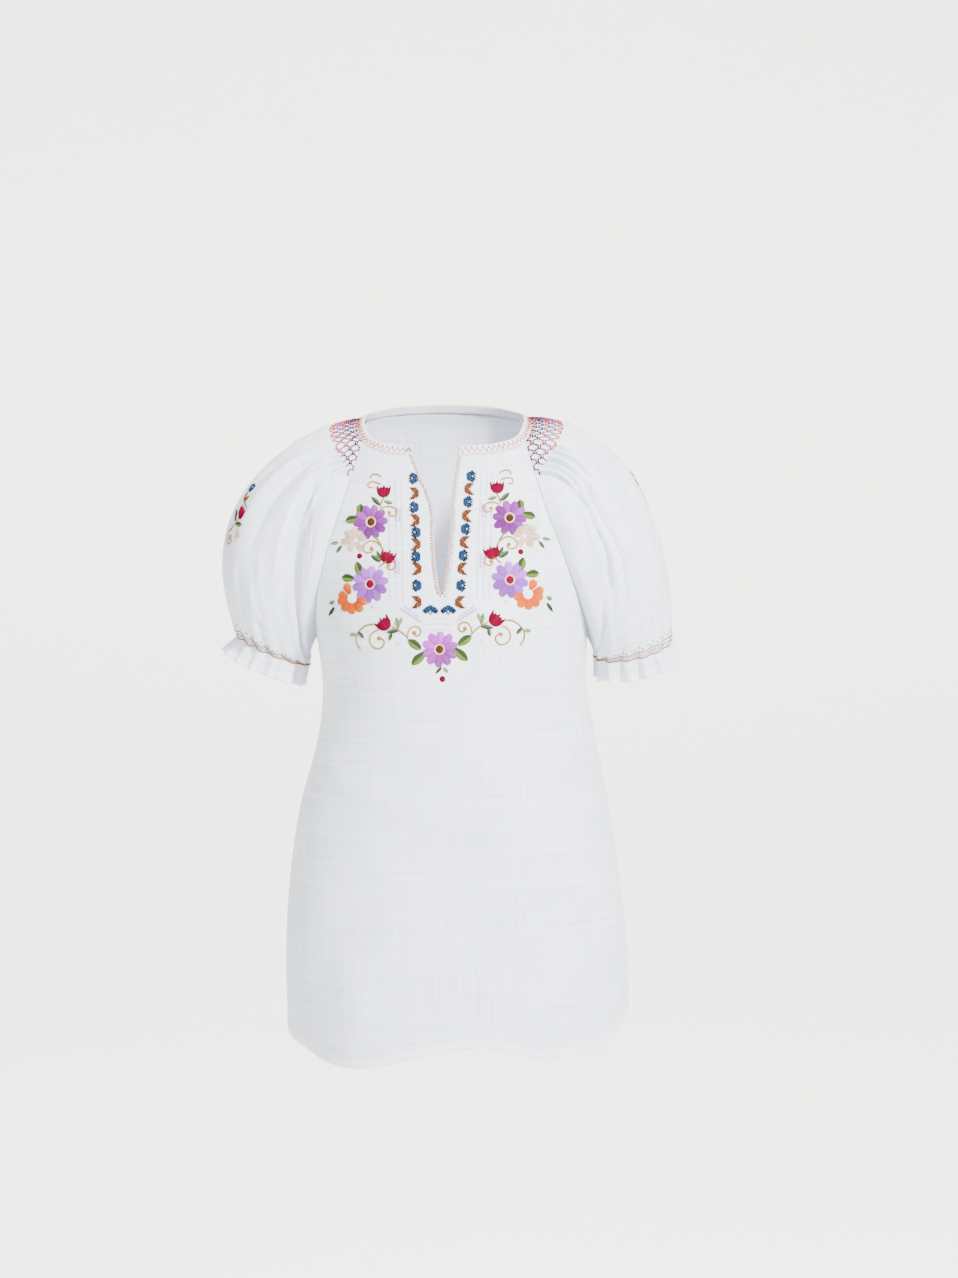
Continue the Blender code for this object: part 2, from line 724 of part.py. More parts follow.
def build_slit_edging(halves, slit_row, material):
    """The narrow stitched edge of the slit, down one side, round its bottom and up the other."""
    bottom = halves[-1][slit_row][-1]
    outer = slit_side_points(halves, slit_row, -1, SEAM_GAP)[::-1]
    inner = slit_side_points(halves, slit_row, -1, SEAM_GAP + SLIT_EDGE_WIDTH)[::-1]
    outer.append(bottom + np.array([0, 0, SEAM_GAP + 0.2]))
    inner.append(bottom + np.array([0, 0, SEAM_GAP + 2 * SLIT_EDGE_WIDTH]))
    outer += slit_side_points(halves, slit_row, 1, SEAM_GAP)
    inner += slit_side_points(halves, slit_row, 1, SEAM_GAP + SLIT_EDGE_WIDTH)
    for line in (outer, inner):
        line[0] = line[0] + unit(line[1] - line[0]) * SEAM_GAP
        line[-1] = line[-1] + unit(line[-2] - line[-1]) * SEAM_GAP
    outs = []
    for k, (low, high) in enumerate(zip(outer, inner)):
        tangent = outer[min(k + 1, len(outer) - 1)] - outer[max(k - 1, 0)]
        out = unit(np.cross(tangent, high - low))
        outs.append(out if out[1] < 0 else -out)
    outs[len(outs) // 2] = unit(outs[len(outs) // 2 - 1] + outs[len(outs) // 2 + 1])
    build_strip("slit_edging", outer, inner, outs, 0.3, 1.8, material)


def build_neck_binding(halves, slit_row, back, loops, material):
    """The binding round the neck, from one side of the slit round the back to the other side."""
    right = halves[-1][-1][::-1]
    left = halves[1][-1][::-1]
    right_end = slit_side_points(halves, slit_row, -1, SEAM_GAP + SLIT_EDGE_WIDTH)[-1]
    left_end = slit_side_points(halves, slit_row, 1, SEAM_GAP + SLIT_EDGE_WIDTH)[-1]
    right_neck = loops["sleeve_right"][FRONT_CORNER : BACK_CORNER + 1]
    left_neck = loops["sleeve_left"][FRONT_CORNER : BACK_CORNER + 1]
    seam = [right_end] + right + right_neck[1:] + back[-1][1:] + left_neck[::-1][1:] + left[::-1][1:] + [left_end]
    ups, outs = band_directions(seam)
    lower = [p + up * SEAM_GAP / 2 for p, up in zip(seam, ups)]
    upper = [p + up * (SEAM_GAP / 2 + BINDING_WIDTH) for p, up in zip(seam, ups)]
    build_strip("neck_binding", lower, upper, outs, BINDING_RAISE, BINDING_THICK, material)


def make_materials():
    made = {}
    for name, (colour, roughness) in MATERIALS.items():
        material = bpy.data.materials.new(name)
        material.use_nodes = True
        shader = material.node_tree.nodes["Principled BSDF"]
        shader.inputs["Base Color"].default_value = (*colour, 1.0)
        shader.inputs["Roughness"].default_value = roughness
        shader.inputs["Metallic"].default_value = 0.0
        made[name] = material
    return made


def main():
    for old in list(bpy.data.objects):
        bpy.data.objects.remove(old)
    materials = make_materials()
    halves, slit_row = build_front(materials["white_cotton"])
    back = build_back(materials["white_cotton"])
    first = len(back) - SEAM_PLAIN_STEPS - SEAM_SMOCKED_STEPS - 1
    loops = {}
    for name, sleeve in SLEEVES.items():
        side = sleeve["side"]
        front_line = [line[0] for line in halves[side][first:]]
        back_line = [line[0 if side < 0 else -1] for line in back[first:]]
        armpit = (front_line[0] + back_line[0]) / 2
        front_line[0] = back_line[0] = armpit
        loops[name] = build_sleeve(name, sleeve, front_line, back_line, materials["white_cotton"])
    build_neck_binding(halves, slit_row, back, loops, materials["binding_cotton"])
    build_slit_edging(halves, slit_row, materials["peach_thread"])


main()
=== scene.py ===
# %% [markdown]
# # The looks of an embroidered cotton blouse
#
# The blouse is a peasant blouse of white batiste: a raglan front and back, puffed sleeves that run up
# to the neck and are smocked there, a bound neck with a slit, and flowers worked by hand in coloured
# thread. The frame gives its solids. This lesson lays fine cloth over them and sews on the threads.
# All lengths below are in millimetres, with x to the wearer's left, y to the back and z up, until the
# mesh is made in metres.

import math

import bmesh
import bpy
import numpy as np
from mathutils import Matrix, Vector


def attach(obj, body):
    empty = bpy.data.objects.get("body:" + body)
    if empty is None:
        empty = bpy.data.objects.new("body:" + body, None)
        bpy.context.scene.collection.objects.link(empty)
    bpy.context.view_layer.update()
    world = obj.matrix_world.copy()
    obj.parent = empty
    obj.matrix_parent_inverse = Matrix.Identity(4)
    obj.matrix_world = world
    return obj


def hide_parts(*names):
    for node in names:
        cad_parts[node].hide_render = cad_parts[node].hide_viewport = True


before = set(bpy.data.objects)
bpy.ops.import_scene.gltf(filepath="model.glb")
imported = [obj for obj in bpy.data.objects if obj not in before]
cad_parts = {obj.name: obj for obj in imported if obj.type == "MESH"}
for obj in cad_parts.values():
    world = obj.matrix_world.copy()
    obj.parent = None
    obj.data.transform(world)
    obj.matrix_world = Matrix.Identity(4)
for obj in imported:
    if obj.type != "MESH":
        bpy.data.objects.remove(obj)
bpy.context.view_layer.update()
MM = 0.001

# %% [markdown]
# ## The studio
#
# The blouse was photographed straight on from about two metres away, at chest height, before a pale
# paper sweep. A real studio hangs one long roll of paper that runs down the wall and out over the
# floor in one curve. A sweep can be modelled as a bent plane, which is one profile drawn sideways.

# %% The camera
EYE = (0.033, -2.0, -0.178)
LOOK_DOWN = math.radians(1.061)
LONG_SIDE_VIEW = math.radians(33.77)

camera_data = bpy.data.cameras.new("photographer")
camera_data.sensor_width = 36.0
camera_data.lens = camera_data.sensor_width / 2 / math.tan(LONG_SIDE_VIEW / 2)
camera = bpy.data.objects.new("photographer", camera_data)
camera.location = EYE
camera.rotation_euler = (math.pi / 2 - LOOK_DOWN, 0.0, 0.0)
bpy.context.scene.collection.objects.link(camera)
bpy.context.scene.camera = camera
print("lens", round(camera_data.lens, 2), "mm")

# %% Shader maths as Python expressions


class Wire:
    """A node's socket on which Python's operators add Math nodes."""

    def __init__(self, finish, socket):
        self.finish = finish
        self.socket = socket

    def join(self, operation, first, second=0.0):
        return self.finish.node("ShaderNodeMath", {"operation": operation}, {0: first, 1: second})

    def __add__(self, other):
        return self.join("ADD", self, other)

    def __sub__(self, other):
        return self.join("SUBTRACT", self, other)

    def __rsub__(self, other):
        return self.join("SUBTRACT", other, self)

    def __mul__(self, other):
        return self.join("MULTIPLY", self, other)

    __radd__ = __add__
    __rmul__ = __mul__


class Finish:
    """A material built around one Principled shader."""

    def __init__(self, name, roughness, sheen):
        self.material = bpy.data.materials.new(name)
        self.material.use_nodes = True
        self.tree = self.material.node_tree
        self.shader = self.tree.nodes["Principled BSDF"]
        self.shader.inputs["Roughness"].default_value = roughness
        self.shader.inputs["Sheen Weight"].default_value = sheen
        self.shader.inputs["Specular IOR Level"].default_value = 0.25

    def node(self, kind, settings=None, sockets=None, out=0):
        """Adds a node: its settings first, then the values or wires of its sockets."""
        made = self.tree.nodes.new(kind)
        for key, value in (settings or {}).items():
            setattr(made, key, value)
        for key, value in (sockets or {}).items():
            if isinstance(value, Wire):
                self.tree.links.new(value.socket, made.inputs[key])
            else:
                made.inputs[key].default_value = value
        return Wire(self, made.outputs[out])

    def noise(self, place, scale, detail=2.0, roughness=0.5):
        """Soft noise from 0 to 1, with a scale for each direction."""
        stretched = self.node("ShaderNodeMapping", None, {"Vector": place, "Scale": scale})
        sockets = {"Vector": stretched, "Scale": 1.0, "Detail": detail, "Roughness": roughness}
        return self.node("ShaderNodeTexNoise", None, sockets)

    def blend(self, share, first, second):
        """A colour between two colours."""
        return self.node("ShaderNodeMix", {"data_type": "RGBA"}, {0: share, 6: first, 7: second}, out=2)

    def paint(self, socket, wire):
        self.tree.links.new(wire.socket, self.shader.inputs[socket])

    def emboss(self, height, depth, strength=1.0):
        sockets = {"Height": height, "Distance": depth, "Strength": strength}
        self.paint("Normal", self.node("ShaderNodeBump", None, sockets))


def dye(red, green, blue):
    """A colour given as it looks on a screen, from 0 to 255, as the linear colour that Blender mixes."""
    levels = np.array([red, green, blue]) / 255.0
    return tuple(np.where(levels <= 0.04045, levels / 12.92, ((levels + 0.055) / 1.055) ** 2.4)) + (1.0,)


# %% The paper sweep
FLOOR_HEIGHT = -1.46
SWEEP_RADIUS = 1.6
SWEEP_BACK = 5.2
SWEEP_TOP = 5.0
SWEEP_FRONT = -4.5
SWEEP_HALF_WIDTH = 7.0
SWEEP_BEND_STEPS = 24
PAPER_GLOW = 2.25

profile = [(SWEEP_FRONT, FLOOR_HEIGHT), (SWEEP_BACK - SWEEP_RADIUS, FLOOR_HEIGHT)]
for step in range(1, SWEEP_BEND_STEPS + 1):
    bend = math.pi / 2 * step / SWEEP_BEND_STEPS
    across = SWEEP_BACK - SWEEP_RADIUS + SWEEP_RADIUS * math.sin(bend)
    profile.append((across, FLOOR_HEIGHT + SWEEP_RADIUS * (1 - math.cos(bend))))
profile.append((SWEEP_BACK, SWEEP_TOP))
corners = [(x, y, z) for y, z in profile for x in (-SWEEP_HALF_WIDTH, SWEEP_HALF_WIDTH)]
strips = [(2 * k, 2 * k + 1, 2 * k + 3, 2 * k + 2) for k in range(len(profile) - 1)]
sweep_mesh = bpy.data.meshes.new("paper_sweep")
sweep_mesh.from_pydata(corners, [], strips)
sweep_mesh.shade_smooth()
sweep = bpy.data.objects.new("paper_sweep", sweep_mesh)
bpy.context.scene.collection.objects.link(sweep)

paper = Finish("pale_paper", 0.9, 0.0)
paper_place = paper.node("ShaderNodeTexCoord", out=3)
mottle = paper.noise(paper_place, (0.6, 0.6, 0.6))
paper.paint("Base Color", paper.blend(mottle, dye(232, 232, 228), dye(238, 238, 235)))
paper.shader.inputs["Emission Color"].default_value = dye(252, 252, 248)
paper.shader.inputs["Emission Strength"].default_value = PAPER_GLOW
sweep_mesh.materials.append(paper.material)
print("sweep:", len(strips), "strips")

# %% [markdown]
# ## Soft light
#
# White cloth on white paper needs light from all round, so that no side goes grey, and a little more
# from one side, so that its folds still show. The glowing paper and a faint even world do the first.
# Three lamps do the second: a small one high at the viewer's right, a wide one above the camera, and
# one from behind and above, which shines through the thin cloth.

# %% Lamps
LAMPS = {
    "key": {"place": (1.7, -2.3, 1.7), "size": 0.5, "power": 480.0},
    "fill": {"place": (-0.9, -2.4, 2.6), "size": 2.0, "power": 220.0},
    "rim": {"place": (0.5, 2.0, 1.8), "size": 1.8, "power": 60.0},
}
LAMP_TARGET = np.array([0.0, 0.0, -0.28])
WORLD_STRENGTH = 0.45

for name, lamp in LAMPS.items():
    lamp_data = bpy.data.lights.new(name, "AREA")
    lamp_data.shape = "DISK"
    lamp_data.size = lamp["size"]
    lamp_data.energy = lamp["power"]
    lamp_object = bpy.data.objects.new(name, lamp_data)
    lamp_object.location = lamp["place"]
    away = np.array(lamp["place"]) - LAMP_TARGET
    lamp_object.rotation_euler = (
        math.acos(away[2] / np.linalg.norm(away)),
        0.0,
        math.atan2(away[1], away[0]) + math.pi / 2,
    )
    bpy.context.scene.collection.objects.link(lamp_object)

world = bpy.data.worlds.new("bright_room")
world.use_nodes = True
world.node_tree.nodes["Background"].inputs["Color"].default_value = (0.98, 0.99, 1.0, 1.0)
world.node_tree.nodes["Background"].inputs["Strength"].default_value = WORLD_STRENGTH
bpy.context.scene.world = world
print("lamps:", ", ".join(LAMPS))

# %% [markdown]
# ## Batiste
#
# Batiste is a plain weave of fine cotton. From a step away its threads can't be told apart, but the
# thicker places in them can: short pale and dark lines, some along and some across. Each is noise that
# is stretched a lot in one direction. An even weave drawn with waves would shimmer at a distance, and
# noise doesn't. The cloth lets some light through, so a Translucent shader is mixed in. The pattern
# reads a UV map that holds real lengths of cloth in metres, so that it follows every fold.

# %% Cloth finishes
LINE_CONTRAST = 3.0
LINE_LEVEL = 1.18
HEM_PALENESS = 0.28
SHORT_LINES = (16.0, 900.0)
LONG_LINES = (5.0, 330.0)


def cloth_finish(name, pale, shade, see_through, weave_depth=0.00012):
    cloth = Finish(name, 0.82, 0.12)
    place = cloth.node("ShaderNodeUVMap", {"uv_map": "cloth"})
    weft = cloth.noise(place, (*SHORT_LINES, 1.0))
    warp = cloth.noise(place, (*SHORT_LINES[::-1], 1.0))
    long_weft = cloth.noise(place, (*LONG_LINES, 1.0), 1.0)
    long_warp = cloth.noise(place, (*LONG_LINES[::-1], 1.0), 1.0)
    cloud = cloth.noise(place, (18.0, 14.0, 1.0), 3.0)
    doubled = cloth.node("ShaderNodeAttribute", {"attribute_name": "doubled"}, out=2)
    lines = weft * 0.28 + warp * 0.26 + long_weft * 0.26 + long_warp * 0.18 + cloud * 0.18
    share = lines * LINE_CONTRAST - LINE_LEVEL + doubled * HEM_PALENESS
    cloth.paint("Base Color", cloth.blend(share, dye(*shade), dye(*pale)))
    cloth.emboss(weft + warp * 0.8 + long_weft * 0.7 + long_warp * 0.5, weave_depth, 0.7)
    behind = cloth.node("ShaderNodeBsdfTranslucent", None, {"Color": dye(*pale)})
    both = cloth.node("ShaderNodeMixShader", None, {0: see_through, 2: behind})
    cloth.tree.links.new(cloth.shader.outputs[0], both.socket.node.inputs[1])
    output = cloth.tree.nodes["Material Output"]
    cloth.tree.links.new(both.socket, output.inputs["Surface"])
    return cloth.material


batiste = cloth_finish("batiste", (236, 238, 246), (190, 195, 210), 0.14)
binding_batiste = cloth_finish("binding_batiste", (238, 238, 242), (198, 198, 206), 0.08)
edging_cloth = cloth_finish("edging_cloth", (240, 236, 238), (208, 200, 202), 0.06)
print("cloth finishes:", batiste.name, binding_batiste.name, edging_cloth.name)

# %% [markdown]
# ## Thread
#
# Stranded cotton is soft and has a gentle gloss along its twist. Every thread here carries its own
# colour, called tint, on its points, so that one finish serves them all, and no two stitches have
# quite the same shade.

# %% Thread finish


def thread_finish():
    thread = Finish("stranded_cotton", 0.6, 0.0)
    thread.shader.inputs["Specular IOR Level"].default_value = 0.04
    tint = thread.node("ShaderNodeAttribute", {"attribute_name": "tint"})
    place = thread.node("ShaderNodeTexCoord", out=3)
    fibres = thread.noise(place, (2200.0, 2200.0, 2200.0), 1.0)
    tone = thread.blend(fibres, (0.80, 0.80, 0.80, 1), (1.12, 1.12, 1.12, 1))
    soft = thread.node("ShaderNodeMix", {"data_type": "RGBA", "blend_type": "MULTIPLY"},
                       {0: 1.0, 6: tint, 7: tone}, out=2)
    thread.paint("Base Color", soft)
    thread.emboss(fibres, 0.0001, 0.6)
    return thread.material


stranded_cotton = thread_finish()
print("thread finish:", stranded_cotton.name)

# %% [markdown]
# ## The body's form
#
# The body is cut as a front and a back that meet at the side seams, and slanting raglan seams part
# them from the sleeves. Worn, its sections are rounded ovals. A short table gives an oval's middle,
# half width and depths at a few heights, and a smooth curve through each column gives all between.
# The numbers are those of the solids, so the fine cloth lies where they do.

# %% Body table
BODY = {
    "height": (-630, -562, -510, -437, -370, -305, -255, -222, -200, -163, -121, -85, -60, -45, -30, -4, 8),
    "shift": (13, 13, 12, 10, 10, 12, 10, 8, 6, 3, 1, 0, 0, 0, 0, 0, 0),
    "half_width": (159, 162, 162, 156, 146, 131, 125, 127, 129, 134, 136, 128, 117, 108, 98, 85, 79),
    "front": (131, 132, 131, 129, 126, 123, 121, 119, 117, 112, 101, 86, 72, 62, 52, 36, 28),
    "back": (120, 119, 117, 112, 105, 100, 100, 101, 101, 100, 96, 91, 87, 84, 80, 71, 64),
}
SECTION_ROUNDNESS = 2.0 / 2.2
FRONT, BACK = -1, 1


def smooth(table, column, where, by="height"):
    """A smooth curve through one named column of a table, read at places along another column."""
    xs = np.array(table[by], float)
    ys = np.array(table[column], float)
    slopes = np.gradient(ys, xs)
    x = np.clip(np.asarray(where, float), xs[0], xs[-1])
    k = np.clip(np.searchsorted(xs, x) - 1, 0, len(xs) - 2)
    h = xs[k + 1] - xs[k]
    t = (x - xs[k]) / h
    return (
        ys[k] * (1 + 2 * t) * (1 - t) ** 2
        + slopes[k] * h * t * (1 - t) ** 2
        + ys[k + 1] * t * t * (3 - 2 * t)
        + slopes[k + 1] * h * t * t * (t - 1)
    )


def ramp(value, start, end):
    """0 before start, 1 after end, and smooth between them. Start may lie above end."""
    t = np.clip((value - start) / (end - start), 0.0, 1.0)
    return t * t * (3 - 2 * t)


def unit(vectors):
    """Each vector of an array with its length made 1."""
    return vectors / np.maximum(np.linalg.norm(vectors, axis=-1, keepdims=True), 1e-9)


print("waist half width:", float(smooth(BODY, "half_width", -255.0)), "mm")

# %% [markdown]
# ## Folds and creases
#
# Light cotton hangs from the chest in a few wide folds, and keeps soft creases where it has been bent.
# Simulated cloth finds folds of its own, and not those of the photograph, so these are given one by one:
# a hanging fold by its angle round the body, and a crease as a stroke between two places on the front,
# like a finger drawn over clay. Similar strokes are put on the back, which no picture shows.

# %% Hanging folds
FRONT_FOLDS = {
    "angle": (-63, -34, 2, 33, 50, 66),
    "width": (9, 12, 13, 11, 6, 9),
    "depth": (5.0, 6.0, -6.5, 5.5, -3.0, 4.0),
    "top": (-330, -380, -400, -360, -420, -300),
}
BACK_FOLDS = {
    "angle": (-62, -38, -16, 12, 34, 60),
    "width": (8, 9, 10, 9, 10, 8),
    "depth": (6.0, -5.0, 7.0, -5.0, 7.0, 5.0),
    "top": (-250, -280, -230, -300, -240, -300),
}
FOLD_FULL_HEIGHT = -600

# %% Creases
FRONT_CREASES = {
    "from_x": (160, 150, 88, -68, -30, -150, -142, 128, 140, -90, 30, 95, -20, -120),
    "from_z": (-497, -449, -472, -352, -414, -250, -262, -262, -300, -520, -545, -380, -300, -440),
    "to_x": (105, 97, 125, 38, 26, -112, -98, 96, 92, -60, 55, 60, 40, -80),
    "to_z": (-530, -472, -460, -379, -414, -300, -335, -330, -352, -560, -560, -400, -292, -425),
    "width": (9, 9, 7, 15, 26, 9, 11, 9, 10, 16, 14, 14, 18, 14),
    "depth": (1.6, 1.5, 0.9, 1.8, -2.2, -1.8, 1.4, -1.3, 1.1, 1.2, -1.2, 1.0, 0.9, -1.0),
}
BACK_CREASES = {
    "from_x": (-150, -146, 140, 146, -60, 40, -20, 90),
    "from_z": (-255, -300, -262, -310, -340, -420, -520, -470),
    "to_x": (-104, -100, 98, 100, 44, -40, 60, 130),
    "to_z": (-318, -352, -330, -366, -362, -404, -534, -500),
    "width": (10, 9, 10, 9, 16, 18, 16, 12),
    "depth": (-1.8, 1.3, -1.7, 1.2, 1.6, -1.4, 1.2, 1.3),
}
CREASE_STRENGTH = 1.5
CREASE_BEND = 0.16
CREASE_END_REACH = 1.6


def strokes(table, x, z):
    """How far the creases of a table push the cloth out at places on it."""
    push = np.zeros(np.broadcast(x, z).shape)
    for row in zip(*table.values()):
        from_x, from_z, to_x, to_z, width, depth = row
        length = math.hypot(to_x - from_x, to_z - from_z)
        along_x, along_z = (to_x - from_x) / length, (to_z - from_z) / length
        along = (x - from_x) * along_x + (z - from_z) * along_z
        aside = (x - from_x) * along_z - (z - from_z) * along_x
        share = np.clip(along / length, 0, 1)
        bend = CREASE_BEND * length * share * (1 - share)
        beyond = np.maximum(0, np.maximum(-along, along - length)) / (CREASE_END_REACH * width)
        push += CREASE_STRENGTH * depth * np.exp(-(((aside - bend) / width) ** 2) - beyond**2)
    return push


EASE_WAVES = 9
EASE_SHORTEST, EASE_LONGEST = 34.0, 120.0
EASE_LENGTH_TO_DEPTH = 260.0


def ease(x, z, seed):
    """A faint unevenness that any worn cloth has: a few long waves with seeded directions."""
    chance = np.random.default_rng(seed)
    push = np.zeros(np.broadcast(x, z).shape)
    for _ in range(EASE_WAVES):
        length = chance.uniform(EASE_SHORTEST, EASE_LONGEST)
        turn = chance.uniform(0, math.pi)
        phase = chance.uniform(0, 2 * math.pi)
        along = x * math.cos(turn) + z * math.sin(turn)
        push += length / EASE_LENGTH_TO_DEPTH * np.sin(2 * math.pi * along / length + phase)
    return push


def hanging(folds, angle, height):
    """How far the hanging folds push the cloth out at angles in degrees and heights."""
    push = 0.0
    for middle, width, depth, top in zip(*folds.values()):
        push = push + depth * np.exp(-(((angle - middle) / width) ** 2)) * ramp(height, top, FOLD_FULL_HEIGHT)
    return push


# %% Points of the body
QUIET_TOP, QUIET_BOTTOM = -40.0, -110.0
QUIET_EDGE_DEGREES = 12.0


def body_point(angle, height, facing):
    """Points of the body's outside at angles in degrees from the middle of the front or back."""
    sine, cosine = np.sin(np.radians(angle)), np.maximum(0.0, np.cos(np.radians(angle)))
    name, folds, creases = ("front", FRONT_FOLDS, FRONT_CREASES) if facing == FRONT else (
        "back", BACK_FOLDS, BACK_CREASES)
    half_width = smooth(BODY, "half_width", height)
    depth = smooth(BODY, name, height) + hanging(folds, angle, height) * cosine
    x = smooth(BODY, "shift", height) + half_width * np.copysign(np.abs(sine) ** SECTION_ROUNDNESS, sine)
    settled = ramp(height, QUIET_TOP, QUIET_BOTTOM) * ramp(90.0 - np.abs(angle), 0.0, QUIET_EDGE_DEGREES)
    soft = (strokes(creases, x, height) + ease(x, height, 5 + facing)) * settled
    y = facing * (depth * cosine**SECTION_ROUNDNESS + soft)
    return np.stack(np.broadcast_arrays(x, y, height), axis=-1)


def angle_at(x, height):
    """The angles at which the body's outside reaches x at these heights."""
    reach = (x - smooth(BODY, "shift", height)) / smooth(BODY, "half_width", height)
    share = np.minimum(1.0, np.abs(reach)) ** (1 / SECTION_ROUNDNESS)
    return np.degrees(np.arcsin(np.copysign(share, reach)))


def front_ground(x, z, lift):
    """Points over the front at places given by x and z, lifted off the cloth. Stitches use this."""
    x, z, lift = np.broadcast_arrays(np.asarray(x, float), np.asarray(z, float), lift)
    step = 0.8
    here = body_point(angle_at(x, z), z, FRONT)
    aside = body_point(angle_at(x + step, z), z, FRONT)
    above = body_point(angle_at(x, z + step), z + step, FRONT)
    normal = unit(np.cross(aside - here, above - here))
    return here + normal * lift[..., None]


print("front at the chest:", front_ground(0.0, -200.0, 0.0).round(1))

# %% [markdown]
# ## Seams, hem and slit
#
# The raglan seams are lines of angle by height. The hem rises at the side seams and falls in soft
# lobes. The slit is a narrow drop shape, given by its middle and half gap.

# %% Edge tables
ARMPIT_HEIGHT = -212.0
CHEST_HEIGHT = -203.0
SLIT_BOTTOM_HEIGHT = -175.3
FRONT_NECK_CENTRE = -44.0
BACK_NECK_CENTRE = 5.0
NECK_SIDE_BREADTH = 83.0
NECK_SIDE_HEIGHT = -12.0
SMOCK_LENGTH_ON_SEAM = 32.0
SEAM_GAP = 0.3
SLIT_EDGE_WIDTH = 4.0
RAGLAN = {
    FRONT: {
        "height": (-212, -205, -195, -163, -121, -75, -46, -31),
        "angle": (90, 84, 76, 60, 48, 43.5, 46, 49),
    },
    BACK: {
        "height": (-212, -205, -195, -155, -105, -62, -30, -4),
        "angle": (90, 84, 76, 59, 50, 50, 56, 59),
    },
}
HEM = {
    FRONT: {
        "angle": (-90, -72, -58, -45, -36, -24, -12, 0, 8, 18, 27, 35, 46, 53, 61, 71, 90),
        "height": (-580, -585, -589, -597.5, -599, -596.5, -588, -580.5, -578.5, -584, -589.5, -588.5,
                   -593, -590, -580, -568.5, -567),
    },
    BACK: {
        "angle": (-90, -75, -55, -30, 0, 30, 55, 75, 90),
        "height": (-580, -584, -596, -602, -598, -601, -592, -571, -567),
    },
}
SLIT = {
    "height": (-171, -168, -160, -145, -120, -100, -85, -68, -53, -44, -30),
    "shift": (-1, -1, -1.1, -0.9, -0.4, -0.2, -1.6, -4.4, -6.3, -7.2, -7.6),
    "half_gap": (0, 1.6, 2.6, 4.8, 6.9, 7.4, 9.4, 14.2, 18.2, 20.6, 21.4),
}
SEAM_STEPS_PLAIN = 8
SEAM_STEPS = 11


def slit_side(height, side, margin):
    """x of one side of the slit, moved into the cloth by a margin. Its bottom is rounded."""
    bottom = SLIT["height"][0]
    round_share = np.clip((bottom - height) / margin, 0, 1)
    half = smooth(SLIT, "half_gap", height) + margin * np.sqrt(1 - round_share**2)
    return smooth(SLIT, "shift", height) + side * half


def seam_height(step, facing):
    """Height of a raglan seam at a step from the armpit, 0, to the neck, 11."""
    neck = RAGLAN[facing]["height"][-1]
    marks = (ARMPIT_HEIGHT, neck - SMOCK_LENGTH_ON_SEAM, neck)
    return np.interp(step, (0, SEAM_STEPS_PLAIN, SEAM_STEPS), marks)


print("front seam starts and ends at", seam_height(0.0, FRONT), seam_height(SEAM_STEPS, FRONT))

# %% [markdown]
# ## Cutting the front and back
#
# Each panel is a grid of rows from the hem to the neck. Below the armpits a row runs from side seam to
# side seam, and above them from one raglan seam to the other. The front is cut as two halves that
# share their middle up to the slit. The last two millimetres at a seam are turned inwards, as they are
# where two pieces of cloth are stitched with their edges inside.

# %% Panel rows
HEM_LIFTS = (0.0, 1.2, 3.5, 6.0, 8.4, 9.2, 10.2)
LOWER_ROWS = 84
YOKE_ROWS = 68
HALF_COLUMNS = 78
HEM_RAISE = 0.45
SEAM_TURN_IN = 0.22
SEAM_TURN_COLUMNS = 0.9
HEM_FOLD_TOP, HEM_FOLD_FULL = 9.9, 8.6


def panel_rows(facing, shares):
    """Angle limits, heights, middle heights and hem marks of a panel's rows, for signed shares of its
    half width."""
    rows = [(lift, 0.0) for lift in HEM_LIFTS]
    rows += [(HEM_LIFTS[-1], row / LOWER_ROWS) for row in range(1, LOWER_ROWS + 1)]
    lifts, ups = (np.array(column)[:, None] for column in zip(*rows))
    chest = CHEST_HEIGHT + (ARMPIT_HEIGHT - CHEST_HEIGHT) * shares**2
    hem = smooth(HEM[facing], "height", 90.0 * shares, by="angle")
    lower = hem + lifts * (1 - ups) + (chest - hem) * ups
    depth = smooth(BODY, "front" if facing == FRONT else "back", lower)
    lower_limit = np.degrees(np.arccos((SEAM_GAP / 2 / depth) ** (1 / SECTION_ROUNDNESS)))
    marks = np.where(ups == 0, ramp(lifts, HEM_FOLD_TOP, HEM_FOLD_FULL), 0.0)

    top = FRONT_NECK_CENTRE if facing == FRONT else BACK_NECK_CENTRE
    steps = SEAM_STEPS * np.arange(1, YOKE_ROWS + 1)[:, None] / YOKE_ROWS
    edge = seam_height(steps, facing)
    centre = np.interp(steps, (0, 2, SEAM_STEPS), (CHEST_HEIGHT, SLIT_BOTTOM_HEIGHT, top))
    upper = centre + (edge - centre) * shares**2
    limits = np.concatenate([lower_limit, smooth(RAGLAN[facing], "angle", edge) + 0 * upper])
    centres = np.concatenate([np.full((len(lower), 1), CHEST_HEIGHT - 1.0), centre])
    marks = np.concatenate([marks, np.zeros((len(upper), 1))])
    return limits, np.concatenate([lower, upper]), centres, marks


def cloth_across(angle, height, facing, parts=30):
    """Length of cloth from the middle of a panel to an angle, at one height: the grain's direction."""
    total = np.zeros(angle.shape)
    before = body_point(angle * 0.0, height, facing)
    for part in range(1, parts + 1):
        after = body_point(angle * part / parts, height, facing)
        total += np.linalg.norm(after - before, axis=-1)
        before = after
    return np.copysign(total, angle)


def panel_half(facing, side, slit=False):
    """One half of a panel, from its middle to its seam: points, cloth places, hem marks, and which
    rows are parted by the slit."""
    shares = np.linspace(0, 1, HALF_COLUMNS + 1)
    limits, heights, centres, marks = panel_rows(facing, side * shares)
    split = slit & (centres[:, 0] > SLIT_BOTTOM_HEIGHT)
    edge = angle_at(slit_side(centres, side, SLIT_EDGE_WIDTH + SEAM_GAP), centres)
    start = np.where(split[:, None], edge, 0.0)
    angles = start + (side * limits - start) * shares
    points = body_point(angles, heights, facing)
    places = np.stack([cloth_across(angles, heights, facing), heights], axis=-1)
    return points, places, np.broadcast_to(marks, heights.shape), split


# %% From grid to cloth
THICKNESS = 0.45


